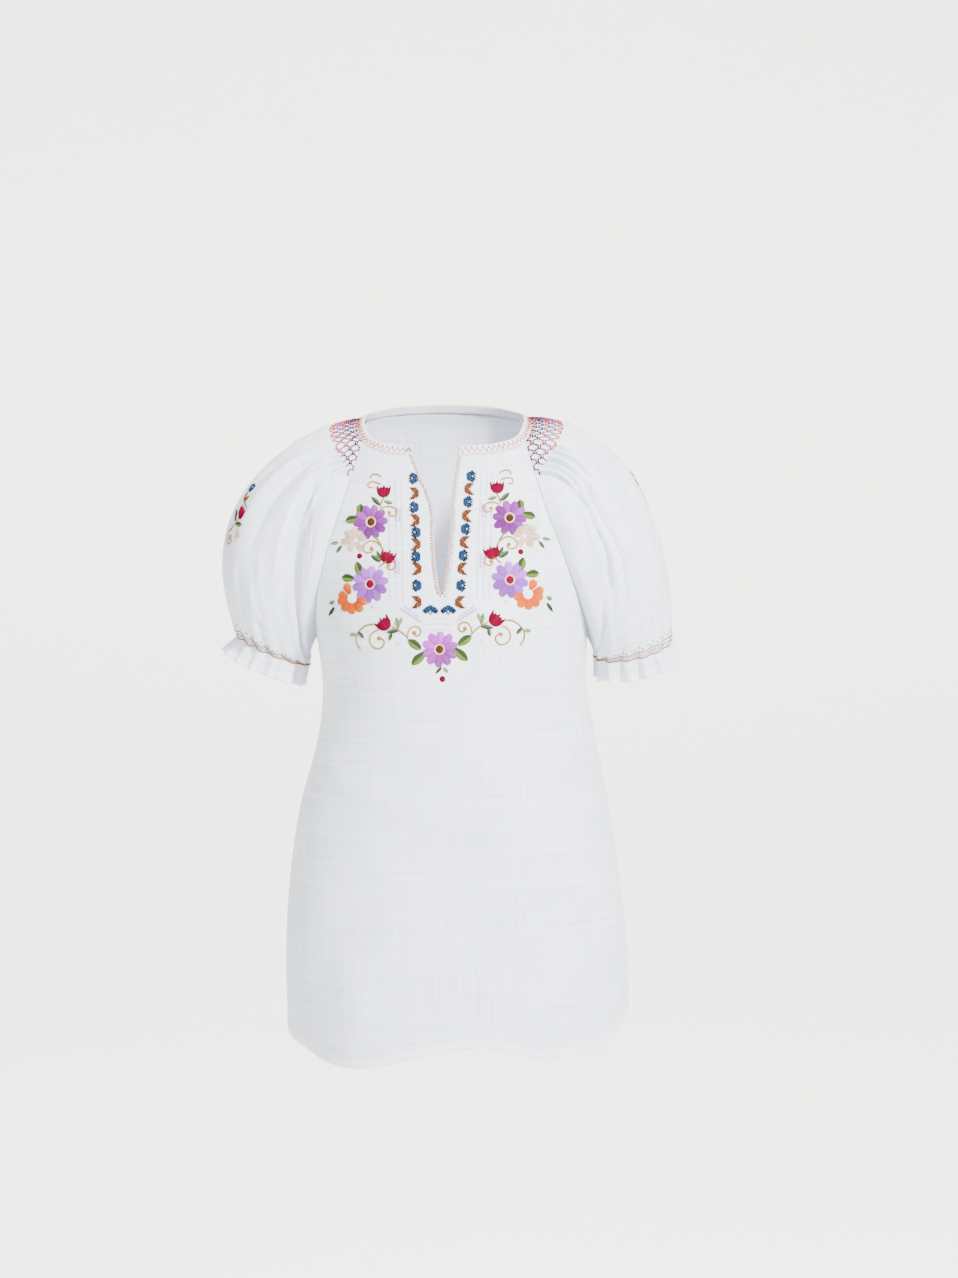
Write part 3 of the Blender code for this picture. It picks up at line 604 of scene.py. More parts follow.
def grid_normals(grid, outwards):
    """Normals of a grid of points, turned so that they agree with a sample direction."""
    up = np.gradient(grid, axis=0)
    across = np.gradient(grid, axis=1)
    normals = unit(np.cross(across, up))
    if (normals * outwards).sum() < 0:
        normals = -normals
    return normals


def cloth_object(name, points, faces, places, marks, material, thickness=THICKNESS):
    """A cloth piece from points in millimetres, with its UV map and its mark for doubled cloth."""
    mesh = bpy.data.meshes.new(name)
    mesh.from_pydata(points * MM, [], faces)
    uv = mesh.uv_layers.new(name="cloth")
    order = np.empty(len(mesh.loops), np.int32)
    mesh.loops.foreach_get("vertex_index", order)
    uv.data.foreach_set("uv", (places[order] * MM).astype(np.float32).ravel())
    doubled = mesh.attributes.new("doubled", "FLOAT", "POINT")
    doubled.data.foreach_set("value", marks.astype(np.float32))
    mesh.shade_smooth()
    mesh.materials.append(material)
    made = bpy.data.objects.new(name, mesh)
    bpy.context.scene.collection.objects.link(made)
    if thickness:
        shell = made.modifiers.new("thickness", "SOLIDIFY")
        shell.thickness = thickness * MM
        shell.offset = -1.0
    return made


def quads(index, flip):
    """Faces over a grid of vertex numbers."""
    a, b, c, d = index[:-1, :-1], index[:-1, 1:], index[1:, 1:], index[1:, :-1]
    faces = np.stack([a, b, c, d], axis=-1).reshape(-1, 4)
    return faces[:, ::-1] if flip else faces


def panel(name, facing, material):
    """The front or back: two halves joined along their shared middle."""
    left, left_places, marks, split = panel_half(facing, 1, facing == FRONT)
    right, right_places, _, _ = panel_half(facing, -1, facing == FRONT)
    rows, columns = marks.shape
    for half in (left, right):
        normals = grid_normals(half, np.array([0.0, facing, 0.0]))
        from_seam = (HALF_COLUMNS - np.arange(columns)) / SEAM_TURN_COLUMNS
        turned = np.exp(-(from_seam**2)) * SEAM_TURN_IN
        half += normals * (marks * HEM_RAISE - turned[None, :])[..., None]
    left_index = np.arange(rows * columns).reshape(rows, columns)
    right_index = left_index + rows * columns
    middle = (left[:, 0] + right[:, 0]) / 2
    left[~split, 0] = middle[~split]
    right_index[~split, 0] = left_index[~split, 0]
    points = np.concatenate([left.reshape(-1, 3), right.reshape(-1, 3)])
    places = np.concatenate([left_places.reshape(-1, 2), right_places.reshape(-1, 2)])
    all_marks = np.concatenate([marks.ravel(), marks.ravel()])
    faces = np.concatenate([quads(left_index, facing == BACK), quads(right_index, facing == FRONT)])
    used, faces = np.unique(faces, return_inverse=True)
    faces = faces.reshape(-1, 4)
    return cloth_object(name, points[used], faces, places[used], all_marks[used], material)


front_cloth = panel("front_cloth", FRONT, batiste)
back_cloth = panel("back_cloth", BACK, batiste)
print("front and back faces:", len(front_cloth.data.polygons), len(back_cloth.data.polygons))

# %% [markdown]
# ## The sleeves
#
# A sleeve is one wide piece of cloth. Its top is drawn together by the smocking at the shoulder, it
# swells into a puff, and it is drawn in again at the cuff, below which its end stands out as a ruffle.
# It is built as strands that leave the armhole sideways and bend down to the cuff. The gathers are
# fine ridges and hollows, a few for each pleat of the smocking, that die away at different lengths.

# %% Sleeve tables
COLUMNS = 56
FINE = 4
SMOCK_START = 8
FRONT_CORNER = 20
BACK_CORNER = 36
SMOCK_END = 48
SMOCK_SHARE = 0.18
FINE_ROWS_SHARE = SMOCK_SHARE * 1.1
CUFF_WAVES_BEGIN = 0.72
SEAM_TURN_ROWS = 1.6
ARM_MIDDLE_Y = 3.0
UNDERARM_REACH = 12.0
GREATEST_TURN = 60.0
PUFF_RING_MIX = 0.8
RUFFLE_WAVES = 14
CUFF_WAVE_DEPTH = 1.3
RUFFLE_WAVE_DEPTH = 3.6
RUFFLE_DEPTH = 20.0
SLEEVES = {
    "sleeve_right": {
        "side": -1,
        "reach": 46,
        "lift": 0,
        "puff": ((128, -230), (253, -72), 82, 6),
        "cuff": ((129, -239), (196, -211), 35, 4),
        "flare": (4, 14, 16),
    },
    "sleeve_left": {
        "side": 1,
        "reach": 66,
        "lift": 10,
        "puff": ((141, -224), (222, -80), 82, 10),
        "cuff": ((143, -231), (215, -216), 36, 10),
        "flare": (4, 14, 12),
    },
}

# %% Long folds of the puffs
# Each fold has a depth, a width in columns, and its column at each of some shares of the strand.
PUFF_FOLDS = {
    "sleeve_right": (
        (-5.5, 1.9, (0.22, 0.27, 0.42, 0.52, 0.60, 0.68, 0.90), (18.0, 12.5, 9.0, 7.5, 6.0, 3.7, 1.5)),
        (3.0, 1.8, (0.25, 0.45, 0.75), (15.5, 12.5, 10.0)),
        (-3.0, 1.6, (0.20, 0.75), (19.0, 16.5)),
        (2.5, 1.5, (0.20, 0.70), (22.0, 20.5)),
        (-3.0, 1.5, (0.18, 0.62), (25.0, 24.0)),
        (2.5, 1.6, (0.20, 0.70), (31.0, 31.5)),
        (-3.0, 1.6, (0.20, 0.78), (36.0, 38.0)),
        (-5.0, 1.9, (0.20, 0.45, 0.90), (42.0, 45.5, 50.0)),
    ),
    "sleeve_left": (
        (-5.0, 1.6, (0.18, 0.25, 0.36, 0.47, 0.55, 0.68, 0.90), (12.5, 9.5, 8.0, 8.4, 8.8, 6.5, 3.0)),
        (-4.0, 1.5, (0.22, 0.33, 0.42, 0.50, 0.60, 0.85), (16.5, 12.2, 11.5, 11.8, 12.6, 10.5)),
        (2.5, 1.6, (0.22, 0.70), (19.0, 17.0)),
        (-3.0, 1.5, (0.18, 0.65), (23.0, 22.0)),
        (2.5, 1.6, (0.20, 0.70), (30.0, 30.5)),
        (-3.0, 1.6, (0.20, 0.78), (35.0, 37.0)),
        (-5.0, 1.9, (0.20, 0.45, 0.90), (41.0, 45.0, 50.0)),
    ),
}

# %% The armhole
fine_columns = np.arange(COLUMNS * FINE) / FINE


def armhole(side):
    """The sleeve's first edge: up the front seam, over the neck and down the back seam."""

    def seam(step, facing):
        height = seam_height(step, facing)
        return body_point(side * smooth(RAGLAN[facing], "angle", height), height, facing)

    c = fine_columns
    up_front = seam(np.where(c <= SMOCK_START, c, SMOCK_START + (c - SMOCK_START) / FINE), FRONT)
    down_back = seam(np.where(c >= SMOCK_END, COLUMNS - c, SMOCK_START + (SMOCK_END - c) / FINE), BACK)
    q = ((c - FRONT_CORNER) / (BACK_CORNER - FRONT_CORNER))[:, None]
    top = np.array([side * NECK_SIDE_BREADTH, 2.0, NECK_SIDE_HEIGHT])
    front_corner, back_corner = (seam(np.array(float(SEAM_STEPS)), facing) for facing in (FRONT, BACK))
    neck = front_corner * (2 * q - 1) * (q - 1) + top * 4 * q * (1 - q) + back_corner * q * (2 * q - 1)
    loop = np.where((c < FRONT_CORNER)[:, None], up_front, neck)
    return np.where((c > BACK_CORNER)[:, None], down_back, loop)


def round_places(loop):
    """Where each column of the armhole lies round it, in degrees from the underarm."""
    middle_z = (ARMPIT_HEIGHT + NECK_SIDE_HEIGHT) / 2
    main = loop[::FINE]
    turned = np.degrees(np.arctan2(-(main[:, 1] - ARM_MIDDLE_Y), middle_z - main[:, 2])) % 360
    turned[0] = 0.0
    table = {"column": np.arange(COLUMNS + 1), "place": np.append(turned, 360.0)}
    return smooth(table, "place", fine_columns, by="column")


# %% Strands of sleeve cloth


def ring_point(ring, side, angle):
    """Points of a sleeve ring. Angle 0 is its inner end, 90 its front and 180 its outer end."""
    (inner_x, inner_z), (outer_x, outer_z), depth, drop = ring
    inner = np.array([side * inner_x, ARM_MIDDLE_Y, inner_z])
    outer = np.array([side * outer_x, ARM_MIDDLE_Y, outer_z])
    deep_axis = np.array([0.0, -depth, -drop])
    a = np.radians(np.asarray(angle, float))[..., None]
    return (inner + outer) / 2 + (inner - outer) / 2 * np.cos(a) + deep_axis * np.sin(a)


def strands(sleeve, loop, shares):
    """The plain sleeve: a row of points for each share of the way from the armhole to the cuff."""
    side, place = sleeve["side"], round_places(loop)
    around = np.radians(place)
    up = (1 - np.cos(around)) / 2
    turn = np.radians(GREATEST_TURN * (1 - up))
    reach = UNDERARM_REACH + (sleeve["reach"] - UNDERARM_REACH) * up
    direction = np.stack(
        [side * np.cos(turn), -np.sin(around) * np.sin(turn), -np.cos(around) * np.sin(turn)], axis=-1
    )
    even = 360.0 * fine_columns / COLUMNS
    first = loop + direction * reach[:, None]
    first[:, 2] += sleeve["lift"] * up * up
    second = ring_point(sleeve["puff"], side, place + (even - place) * PUFF_RING_MIX)
    end = ring_point(sleeve["cuff"], side, even)
    t = np.asarray(shares)[:, None, None]
    return loop * (1 - t) ** 3 + first * 3 * t * (1 - t) ** 2 + second * 3 * t * t * (1 - t) + end * t**3


# %% Pleats from the smocking
PLEATS = 14
PLEAT_HEIGHT = 3.5
GATHERS = 40
SMOCK_LEVELS = 6
PATCH_NARROWING = 11.0


def pleat_places(loop):
    """How many pleats lie between the smocking's start and each column, by the seam's length."""
    steps = np.linalg.norm(np.diff(loop, axis=0), axis=1)
    length = np.concatenate([[0], np.cumsum(steps)])
    start, end = np.interp((SMOCK_START, SMOCK_END), fine_columns, length)
    return PLEATS * (length - start) / (end - start)


def patch_level(column):
    """The last level of the smocked patch at a column. The patch narrows away from the neck."""
    inside = np.minimum(column - SMOCK_START, SMOCK_END - column)
    return np.clip((SMOCK_LEVELS - 1) * inside / PATCH_NARROWING, 0, SMOCK_LEVELS - 1)


def pleat_push(places, share, seed):
    """Ridges and hollows of the gathers in turn, each with its own height, width and length."""
    chance = np.random.default_rng(seed)
    push = np.zeros((len(share), len(places)))
    level = np.minimum(SMOCK_LEVELS - 1, patch_level(fine_columns))[None, :]
    begin = SMOCK_SHARE * level / SMOCK_LEVELS
    t = share[:, None]
    for fold in range(GATHERS):
        pleat = PLEATS * (fold + chance.uniform(-0.3, 0.3)) / (GATHERS - 1)
        height = PLEAT_HEIGHT * chance.uniform(0.45, 1.5) * (1 if fold % 2 else -1)
        end = chance.uniform(0.24, 0.56)
        drift = chance.uniform(-0.7, 0.7)
        width = chance.uniform(0.11, 0.18)
        middle = pleat + drift * ramp(t, 0.12, 0.5)
        spread = width * (1 + 0.9 * ramp(t, 0.15, 0.5))
        alive = ramp(t, begin - 0.01, begin + 0.03) * ramp(t, end, 0.3 * end)
        push += height * alive * np.exp(-(((places[None, :] - middle) / spread) ** 2))
    return push


def smock_push(places, share):
    """Puffs of the smocking: raised in the middle of each cell and drawn in under the threads."""
    level = (share * SMOCK_LEVELS / SMOCK_SHARE)[:, None]
    cell = np.cos(2 * math.pi * (places[None, :] - 0.75)) * np.cos(math.pi * level)
    last = patch_level(fine_columns)[None, :]
    inside = ramp(level, last + 0.5, last - 0.1) * ramp(level, 0.0, 0.5) * (last > 0.05)
    return (0.7 + 1.25 * cell) * inside


# %% Folds, gathers at the cuff and the ruffle
FOLD_LINE = 0.28
RIPPLES = {"count": (29, 43, 19), "share": (0.16, 0.07, 0.12), "phase": (0.7, 2.1, 4.0)}


def long_folds(name, share):
    """How far the long folds of a puff push the cloth out."""
    push = 0.0
    t = share[:, None]
    for depth, width, shares, columns in PUFF_FOLDS[name]:
        middle = smooth({"share": shares, "column": columns}, "column", t, by="share")
        inside = ramp(t, shares[0], shares[0] + 0.15) * ramp(t, shares[-1], shares[-1] - 0.2)
        aside = (fine_columns[None, :] - middle) / width
        push = push + depth * inside * (np.exp(-(aside**2)) + FOLD_LINE * np.exp(-((aside / 0.2) ** 2)))
    return push


def small_creases(share, seed, count=34):
    """Finer creases with seeded places, lengths and slants, on the upper and the lower puff."""
    chance = np.random.default_rng(seed)
    push = 0.0
    t = share[:, None]
    for crease in range(count):
        upper = crease < count // 2
        start = chance.uniform(0.16, 0.30) if upper else chance.uniform(0.62, 0.84)
        length = chance.uniform(0.14, 0.34) if upper else chance.uniform(0.12, 0.2)
        column = chance.uniform(6, 50) if upper else chance.uniform(0, COLUMNS)
        slant = chance.uniform(-2.4, 2.4)
        width = chance.uniform(0.45, 1.0)
        depth = chance.uniform(0.5, 1.5) * (1 if chance.random() < 0.6 else -1)
        along = (t - start) / length
        aside = (fine_columns[None, :] - column - slant * along + COLUMNS / 2) % COLUMNS - COLUMNS / 2
        inside = ramp(along, 0.0, 0.35) * ramp(along, 1.0, 0.5)
        push = push + depth * inside * np.exp(-((aside / width) ** 2))
    return push


def waves(column):
    """The ruffle's waves: 14 large ones, made uneven by smaller ones."""
    turn = 2 * math.pi * column / COLUMNS
    wave = np.cos(RUFFLE_WAVES * turn + 0.35 * np.sin(3 * turn))
    for count, share, phase in zip(*RIPPLES.values()):
        wave = wave + share * np.cos(count * turn + phase)
    return wave


def ruffle(sleeve, cuff_line, distances):
    """Rows of the ruffle below the cuff, which flares and waves more towards its edge."""
    side, cuff = sleeve["side"], sleeve["cuff"]
    middle = (ring_point(cuff, side, 0.0) + ring_point(cuff, side, 180.0)) / 2
    down = unit(np.cross(ring_point(cuff, side, 0.0) - middle, ring_point(cuff, side, 90.0) - middle))
    down = -down if down[2] > 0 else down
    turn = 2 * math.pi * fine_columns / COLUMNS
    out = cuff_line - middle
    out = unit(out - (out @ down)[:, None] * down)
    inner, front, outer = sleeve["flare"]
    inner_share = np.maximum(0, np.cos(turn))
    outer_share = np.maximum(0, -np.cos(turn)) ** 1.5
    flare = np.radians(front + (outer - front) * outer_share + (inner - front) * inner_share)[:, None]
    surface = unit(out * np.cos(flare) - down * np.sin(flare))
    step = down * np.cos(flare) + out * np.sin(flare)
    quiet = (1.0 - 0.45 * inner_share) * waves(fine_columns)
    rows = []
    for distance in distances:
        grown = distance / RUFFLE_DEPTH
        push = quiet * RUFFLE_WAVE_DEPTH * grown
        rows.append(cuff_line + step * distance + surface * push[:, None])
    return np.array(rows)


# %% Building the sleeves
SMOCK_ROWS_FINE = 46
PUFF_ROWS = 66
RUFFLE_ROWS = 14
COLUMN_WIDTH = 9.0
STRAND_LENGTH = 235.0
RUFFLE_HEM = 3.0
RUFFLE_HEM_RAISE = 0.3
sleeve_grids = {}


def ring_normals(grid):
    """Outward normals of a closed grid of rings."""
    around = np.roll(grid, -1, axis=1) - np.roll(grid, 1, axis=1)
    normals = unit(np.cross(np.gradient(grid, axis=0), around))
    if ((grid - grid.mean(axis=1, keepdims=True)) * normals).sum() < 0:
        normals = -normals
    return normals


def build_sleeve(name, seed):
    sleeve = SLEEVES[name]
    loop = armhole(sleeve["side"])
    shares = np.concatenate([
        np.linspace(0, FINE_ROWS_SHARE, SMOCK_ROWS_FINE),
        np.linspace(FINE_ROWS_SHARE, 1.0, PUFF_ROWS + 1)[1:],
    ])
    plain = strands(sleeve, loop, shares)
    plain[0] += unit(plain[1] - plain[0]) * SEAM_GAP / 2
    places = pleat_places(loop)
    push = long_folds(name, shares) + small_creases(shares, seed)
    push += pleat_push(places, shares, seed + 1) + smock_push(places, shares)
    push += CUFF_WAVE_DEPTH * waves(fine_columns)[None, :] * ramp(shares, CUFF_WAVES_BEGIN, 1.0)[:, None]
    push *= ramp(shares, -0.004, 0.02)[:, None]
    seam_turn = SEAM_TURN_IN * np.exp(-((np.arange(len(shares)) / SEAM_TURN_ROWS) ** 2))[:, None]
    base = plain + ring_normals(plain) * (push - seam_turn)[..., None]
    distances = RUFFLE_DEPTH * np.arange(1, RUFFLE_ROWS + 1) / RUFFLE_ROWS
    grid = np.concatenate([base, ruffle(sleeve, base[-1], distances)])
    normals = ring_normals(grid)
    hem_top = RUFFLE_DEPTH - RUFFLE_HEM
    hem = np.concatenate([np.zeros(len(shares)), ramp(distances, hem_top - 1, hem_top)])
    grid += normals * (RUFFLE_HEM_RAISE * hem)[:, None, None]
    sleeve_grids[name] = {
        "points": grid,
        "normals": normals,
        "shares": np.concatenate([shares, 1.0 + distances / STRAND_LENGTH]),
        "places": places,
    }
    rows, columns = grid.shape[:2]
    index = np.arange(rows * columns).reshape(rows, columns)
    index = np.concatenate([index, index[:, :1]], axis=1)
    faces = quads(index, sleeve["side"] > 0)
    across, along = fine_columns * COLUMN_WIDTH, sleeve_grids[name]["shares"] * STRAND_LENGTH
    on_cloth = np.stack(np.broadcast_arrays(across[None, :], along[:, None]), axis=-1).reshape(-1, 2)
    marks = np.repeat(hem, columns)
    made = cloth_object(name + "_cloth", grid.reshape(-1, 3), faces, on_cloth, marks, batiste)
    centre = grid.mean(axis=(0, 1)) * MM
    polygon = made.data.polygons[rows // 2 * columns + columns // 2]
    if (polygon.center - Vector(centre)).dot(polygon.normal) < 0:
        made.data.flip_normals()
    return made


sleeve_right_cloth = build_sleeve("sleeve_right", 21)
sleeve_left_cloth = build_sleeve("sleeve_left", 37)
print("sleeve faces:", len(sleeve_right_cloth.data.polygons), len(sleeve_left_cloth.data.polygons))

# %% [markdown]
# ## The neck binding
#
# The raw neck edge is closed in a strip of the same cotton, folded over it: a flat tube about nine
# millimetres wide. It is modelled as a rounded section drawn along the neck line. At each place the
# band leans in towards the neck, so the way up it and the way out of it are worked out first.

# %% The neck line
BINDING_WIDTH = 9.5
NECK_SAMPLES = 340
NECK_SMOOTHING = 6
LEAN_AT_FRONT, LEAN_MORE_AT_SIDES = 30.0, 14.0


def even_line(line, count):
    """A line of points resampled at equal distances, and its length."""
    steps = np.linalg.norm(np.diff(line, axis=0), axis=1)
    length = np.concatenate([[0], np.cumsum(steps)])
    at = np.linspace(0, length[-1], count)
    return np.stack([np.interp(at, length, line[:, axis]) for axis in range(3)], axis=-1), length[-1]


def panel_top(facing, side, start):
    """The upper edge of a panel's half, from its middle to its corner."""
    shares = np.linspace(0, 1, 60)
    edge = seam_height(float(SEAM_STEPS), facing)
    centre = FRONT_NECK_CENTRE if facing == FRONT else BACK_NECK_CENTRE
    limit = side * smooth(RAGLAN[facing], "angle", edge)
    return body_point(start + (limit - start) * shares, centre + (edge - centre) * shares**2, facing)


def neck_line():
    """The neck seam from one side of the slit round the back to the other side."""
    halves = []
    for side in (-1, 1):
        slit_x = slit_side(FRONT_NECK_CENTRE, side, SEAM_GAP)
        front_half = panel_top(FRONT, side, angle_at(slit_x, FRONT_NECK_CENTRE))
        over_shoulder = armhole(side)[FRONT_CORNER * FINE : BACK_CORNER * FINE + 1]
        back_half = panel_top(BACK, side, 0.0)[::-1]
        halves.append(np.concatenate([front_half, over_shoulder[1:], back_half[1:]]))
    line, length = even_line(np.concatenate([halves[0], halves[1][::-1][1:]]), NECK_SAMPLES)
    for _ in range(NECK_SMOOTHING):
        line[1:-1] = (line[:-2] + 2 * line[1:-1] + line[2:]) / 4
    return line, length


neck_seam, neck_length = neck_line()
tangents = unit(np.gradient(neck_seam, axis=0))
inwards = unit(neck_seam * np.array([-1.0, -1.0, 0.0]))
sideways = np.abs(neck_seam[:, 0]) / NECK_SIDE_BREADTH
lean = np.radians(LEAN_AT_FRONT + LEAN_MORE_AT_SIDES * sideways**3)[:, None]
neck_ups = np.array([0.0, 0.0, 1.0]) * np.cos(lean) + inwards * np.sin(lean)
neck_ups = unit(neck_ups - tangents * (neck_ups * tangents).sum(axis=1, keepdims=True))
neck_outs = unit(np.cross(neck_ups, tangents))
neck_outs *= -np.sign((neck_outs * inwards).sum(axis=1, keepdims=True))


def binding_ground(s, w, lift):
    """Points over the binding at a distance s along it and w up it."""
    at = s / neck_length * (NECK_SAMPLES - 1)
    steps = np.arange(NECK_SAMPLES)

    def read(rows):
        return np.stack([np.interp(at, steps, rows[:, axis]) for axis in range(3)], axis=-1)

    crown = 0.3 + 0.45 * np.sin(math.pi * np.clip(w / BINDING_WIDTH, 0, 1))
    up = read(neck_ups) * (w + SEAM_GAP / 2)[:, None]
    return read(neck_seam) + up + read(neck_outs) * (lift + crown)[:, None]


print("neck seam:", round(neck_length), "mm")

# %% Bands with a closed section
BINDING_SAMPLES = 330
BINDING_PUCKERS = 90
BINDING_SECTION = (
    (0.0, -0.5), (0.2, -0.1), (0.8, 0.0), (2.4, 0.0), (4.75, 0.0), (7.1, 0.0), (8.6, -0.05), (9.3, -0.3),
    (9.5, -0.8), (9.4, -1.3), (8.8, -1.75), (7.1, -2.0), (4.75, -2.2), (2.4, -2.0), (0.8, -1.9), (0.2, -1.5),
)


def closed_band(name, grid, material):
    """A piece from a grid of closed sections along a path, with its two ends closed."""
    count, around = grid.shape[:2]
    index = np.arange(count * around).reshape(count, around)
    index = np.concatenate([index, index[:, :1]], axis=1)
    faces = quads(index, False).tolist()
    faces += [index[0, :-1].tolist(), index[-1, :-1][::-1].tolist()]
    along = np.concatenate([[0], np.cumsum(np.linalg.norm(np.diff(grid[:, 0], axis=0), axis=1))])
    across = np.concatenate([[0], np.cumsum(np.linalg.norm(np.diff(grid[0], axis=0), axis=1))])
    places = np.stack(np.meshgrid(along, across, indexing="ij"), axis=-1).reshape(-1, 2)
    made = cloth_object(name, grid.reshape(-1, 3), faces, places, np.zeros(len(places)), material, 0)
    shape = bmesh.new()
    shape.from_mesh(made.data)
    bmesh.ops.recalc_face_normals(shape, faces=shape.faces)
    shape.to_mesh(made.data)
    shape.free()
    return made


chance = np.random.default_rng(9)
neck_path = np.linspace(0.25, neck_length - 0.25, BINDING_SAMPLES)
pucker_places = np.linspace(0, neck_length, BINDING_PUCKERS)
puckers = np.interp(neck_path, pucker_places, chance.uniform(-0.14, 0.14, BINDING_PUCKERS))
sections = []
for w, lift in BINDING_SECTION:
    outer = 1.0 if lift > -1.0 else 0.3
    sections.append(binding_ground(neck_path, np.full(BINDING_SAMPLES, w), lift + puckers * outer))
neck_binding_cloth = closed_band("neck_binding_cloth", np.stack(sections, axis=1), binding_batiste)
print("binding faces:", len(neck_binding_cloth.data.polygons))

# %% [markdown]
# ## The edge of the slit
#
# The slit is a cut that is kept from fraying by a close zigzag over a narrow turned edge. The edge is
# a small rounded band down one side, round the bottom in a half circle and up the other side.

# %% The slit's edge
EDGING_SECTION = (
    (4.2, -0.5), (4.0, 0.0), (3.4, 0.35), (2.2, 0.5), (1.1, 0.42), (0.5, 0.1), (0.3, -0.4),
    (0.5, -0.9), (1.6, -1.3), (3.2, -1.3), (4.0, -1.0),
)
SLIT_TOP_HEIGHT = FRONT_NECK_CENTRE - SEAM_GAP


def slit_path(margin, straight=80, bend=20):
    """x and z along the slit, at a margin outside the opening: down, round the bottom and up."""
    bottom = SLIT["height"][0]
    heights = np.linspace(SLIT_TOP_HEIGHT, bottom, straight)
    turn = np.linspace(math.pi, 2 * math.pi, bend + 2)[1:-1]
    middle, half = smooth(SLIT, "shift", heights), smooth(SLIT, "half_gap", heights)
    down = np.stack([middle - half - margin, heights], axis=-1)
    around = np.stack([SLIT["shift"][0] + margin * np.cos(turn), bottom + margin * np.sin(turn)], axis=-1)
    up = np.stack([middle + half + margin, heights], axis=-1)
    return np.concatenate([down, around, up[::-1]])


sections = []
for margin, lift in EDGING_SECTION:
    path = slit_path(margin)
    sections.append(front_ground(path[:, 0], path[:, 1], lift))
slit_edging_cloth = closed_band("slit_edging_cloth", np.stack(sections, axis=1), edging_cloth)
print("slit edging faces:", len(slit_edging_cloth.data.polygons))

# %% [markdown]
# ## Threads as curves with Geometry Nodes
#
# Embroidery is thread that lies on cloth and dives into it at the ends of each stitch. A stitch is
# therefore a short line of points, a little over the cloth in its middle and a little under it at its
# ends. One Geometry Nodes tree turns all the lines of a piece into tubes: Mesh to Curve, then Curve to
# Mesh with a circle, whose scale comes from an attribute on the points. A second tree sets a stitch at
# equal distances along a path, which suits seams and hems.

# %% The tree that turns lines into threads


def new_tree(name, inputs):
    """An empty Geometry Nodes tree with named inputs, and the sockets' identifiers by name."""
    tree = bpy.data.node_groups.new(name, "GeometryNodeTree")
    tree.interface.new_socket("Geometry", in_out="INPUT", socket_type="NodeSocketGeometry")
    found = {}
    for label, (kind, value) in inputs.items():
        socket = tree.interface.new_socket(label, in_out="INPUT", socket_type=kind)
        socket.default_value = value
        found[label] = socket.identifier
    tree.interface.new_socket("Geometry", in_out="OUTPUT", socket_type="NodeSocketGeometry")
    return tree, found


def add_node(tree, kind, settings=None, sockets=None):
    """Adds a node to a tree; a socket gets either a value or another node's output."""
    made = tree.nodes.new(kind)
    for key, value in (settings or {}).items():
        setattr(made, key, value)
    for key, value in (sockets or {}).items():
        if isinstance(value, bpy.types.NodeSocket):
            tree.links.new(value, made.inputs[key])
        else:
            made.inputs[key].default_value = value
    return made


def finish_tree(tree, geometry, material):
    """Ends a tree in smooth shading, real instances and a material."""
    soft = add_node(tree, "GeometryNodeSetShadeSmooth", None, {"Geometry": geometry})
    real = add_node(tree, "GeometryNodeRealizeInstances", None, {"Geometry": soft.outputs[0]})
    sockets = {"Geometry": real.outputs[0], "Material": material}
    dressed = add_node(tree, "GeometryNodeSetMaterial", None, sockets)
    add_node(tree, "NodeGroupOutput", None, {0: dressed.outputs[0]})


thread_tree, thread_inputs = new_tree(
    "lines_to_threads",
    {"Sides": ("NodeSocketInt", 5), "Fullness": ("NodeSocketFloat", 1.0)},
)
given = add_node(thread_tree, "NodeGroupInput")
as_curve = add_node(thread_tree, "GeometryNodeMeshToCurve", None, {0: given.outputs["Geometry"]})
ring = add_node(thread_tree, "GeometryNodeCurvePrimitiveCircle", None,
                {"Resolution": given.outputs["Sides"], "Radius": 1.0})
radius_here = add_node(thread_tree, "GeometryNodeInputNamedAttribute", {"data_type": "FLOAT"},
                       {"Name": "thread_radius"})
full = add_node(thread_tree, "ShaderNodeMath", {"operation": "MULTIPLY"},
                {0: radius_here.outputs[0], 1: given.outputs["Fullness"]})
tubes = add_node(thread_tree, "GeometryNodeCurveToMesh", None,
                 {"Curve": as_curve.outputs[0], "Profile Curve": ring.outputs[0], "Scale": full.outputs[0],
                  "Fill Caps": True})
finish_tree(thread_tree, tubes.outputs[0], stranded_cotton)
print("thread tree:", len(thread_tree.nodes), "nodes")

# %% Lines of points
DYE_STRENGTH = 0.62


def lines_object(name, points, counts, radii, tints, outs=None):
    """An object of loose lines: points in millimetres, the number of points of each line, and what
    each point carries."""
    ends = np.cumsum(counts)
    numbers = np.arange(ends[-1] - 1)
    numbers = numbers[~np.isin(numbers, ends - 1)]
    mesh = bpy.data.meshes.new(name)
    mesh.from_pydata(points * MM, np.stack([numbers, numbers + 1], axis=-1), [])
    thickness = mesh.attributes.new("thread_radius", "FLOAT", "POINT")
    thickness.data.foreach_set("value", (radii * MM).astype(np.float32))
    levels = np.clip(tints, 0, 255) / 255.0
    linear = np.where(levels <= 0.04045, levels / 12.92, ((levels + 0.055) / 1.055) ** 2.4)
    colours = np.column_stack([linear * DYE_STRENGTH, np.ones(len(linear))]).astype(np.float32)
    tint = mesh.attributes.new("tint", "FLOAT_COLOR", "POINT")
    tint.data.foreach_set("color", colours.ravel())
    if outs is not None:
        away = mesh.attributes.new("away", "FLOAT_VECTOR", "POINT")
        away.data.foreach_set("vector", outs.astype(np.float32).ravel())
    made = bpy.data.objects.new(name, mesh)
    bpy.context.scene.collection.objects.link(made)
    return made


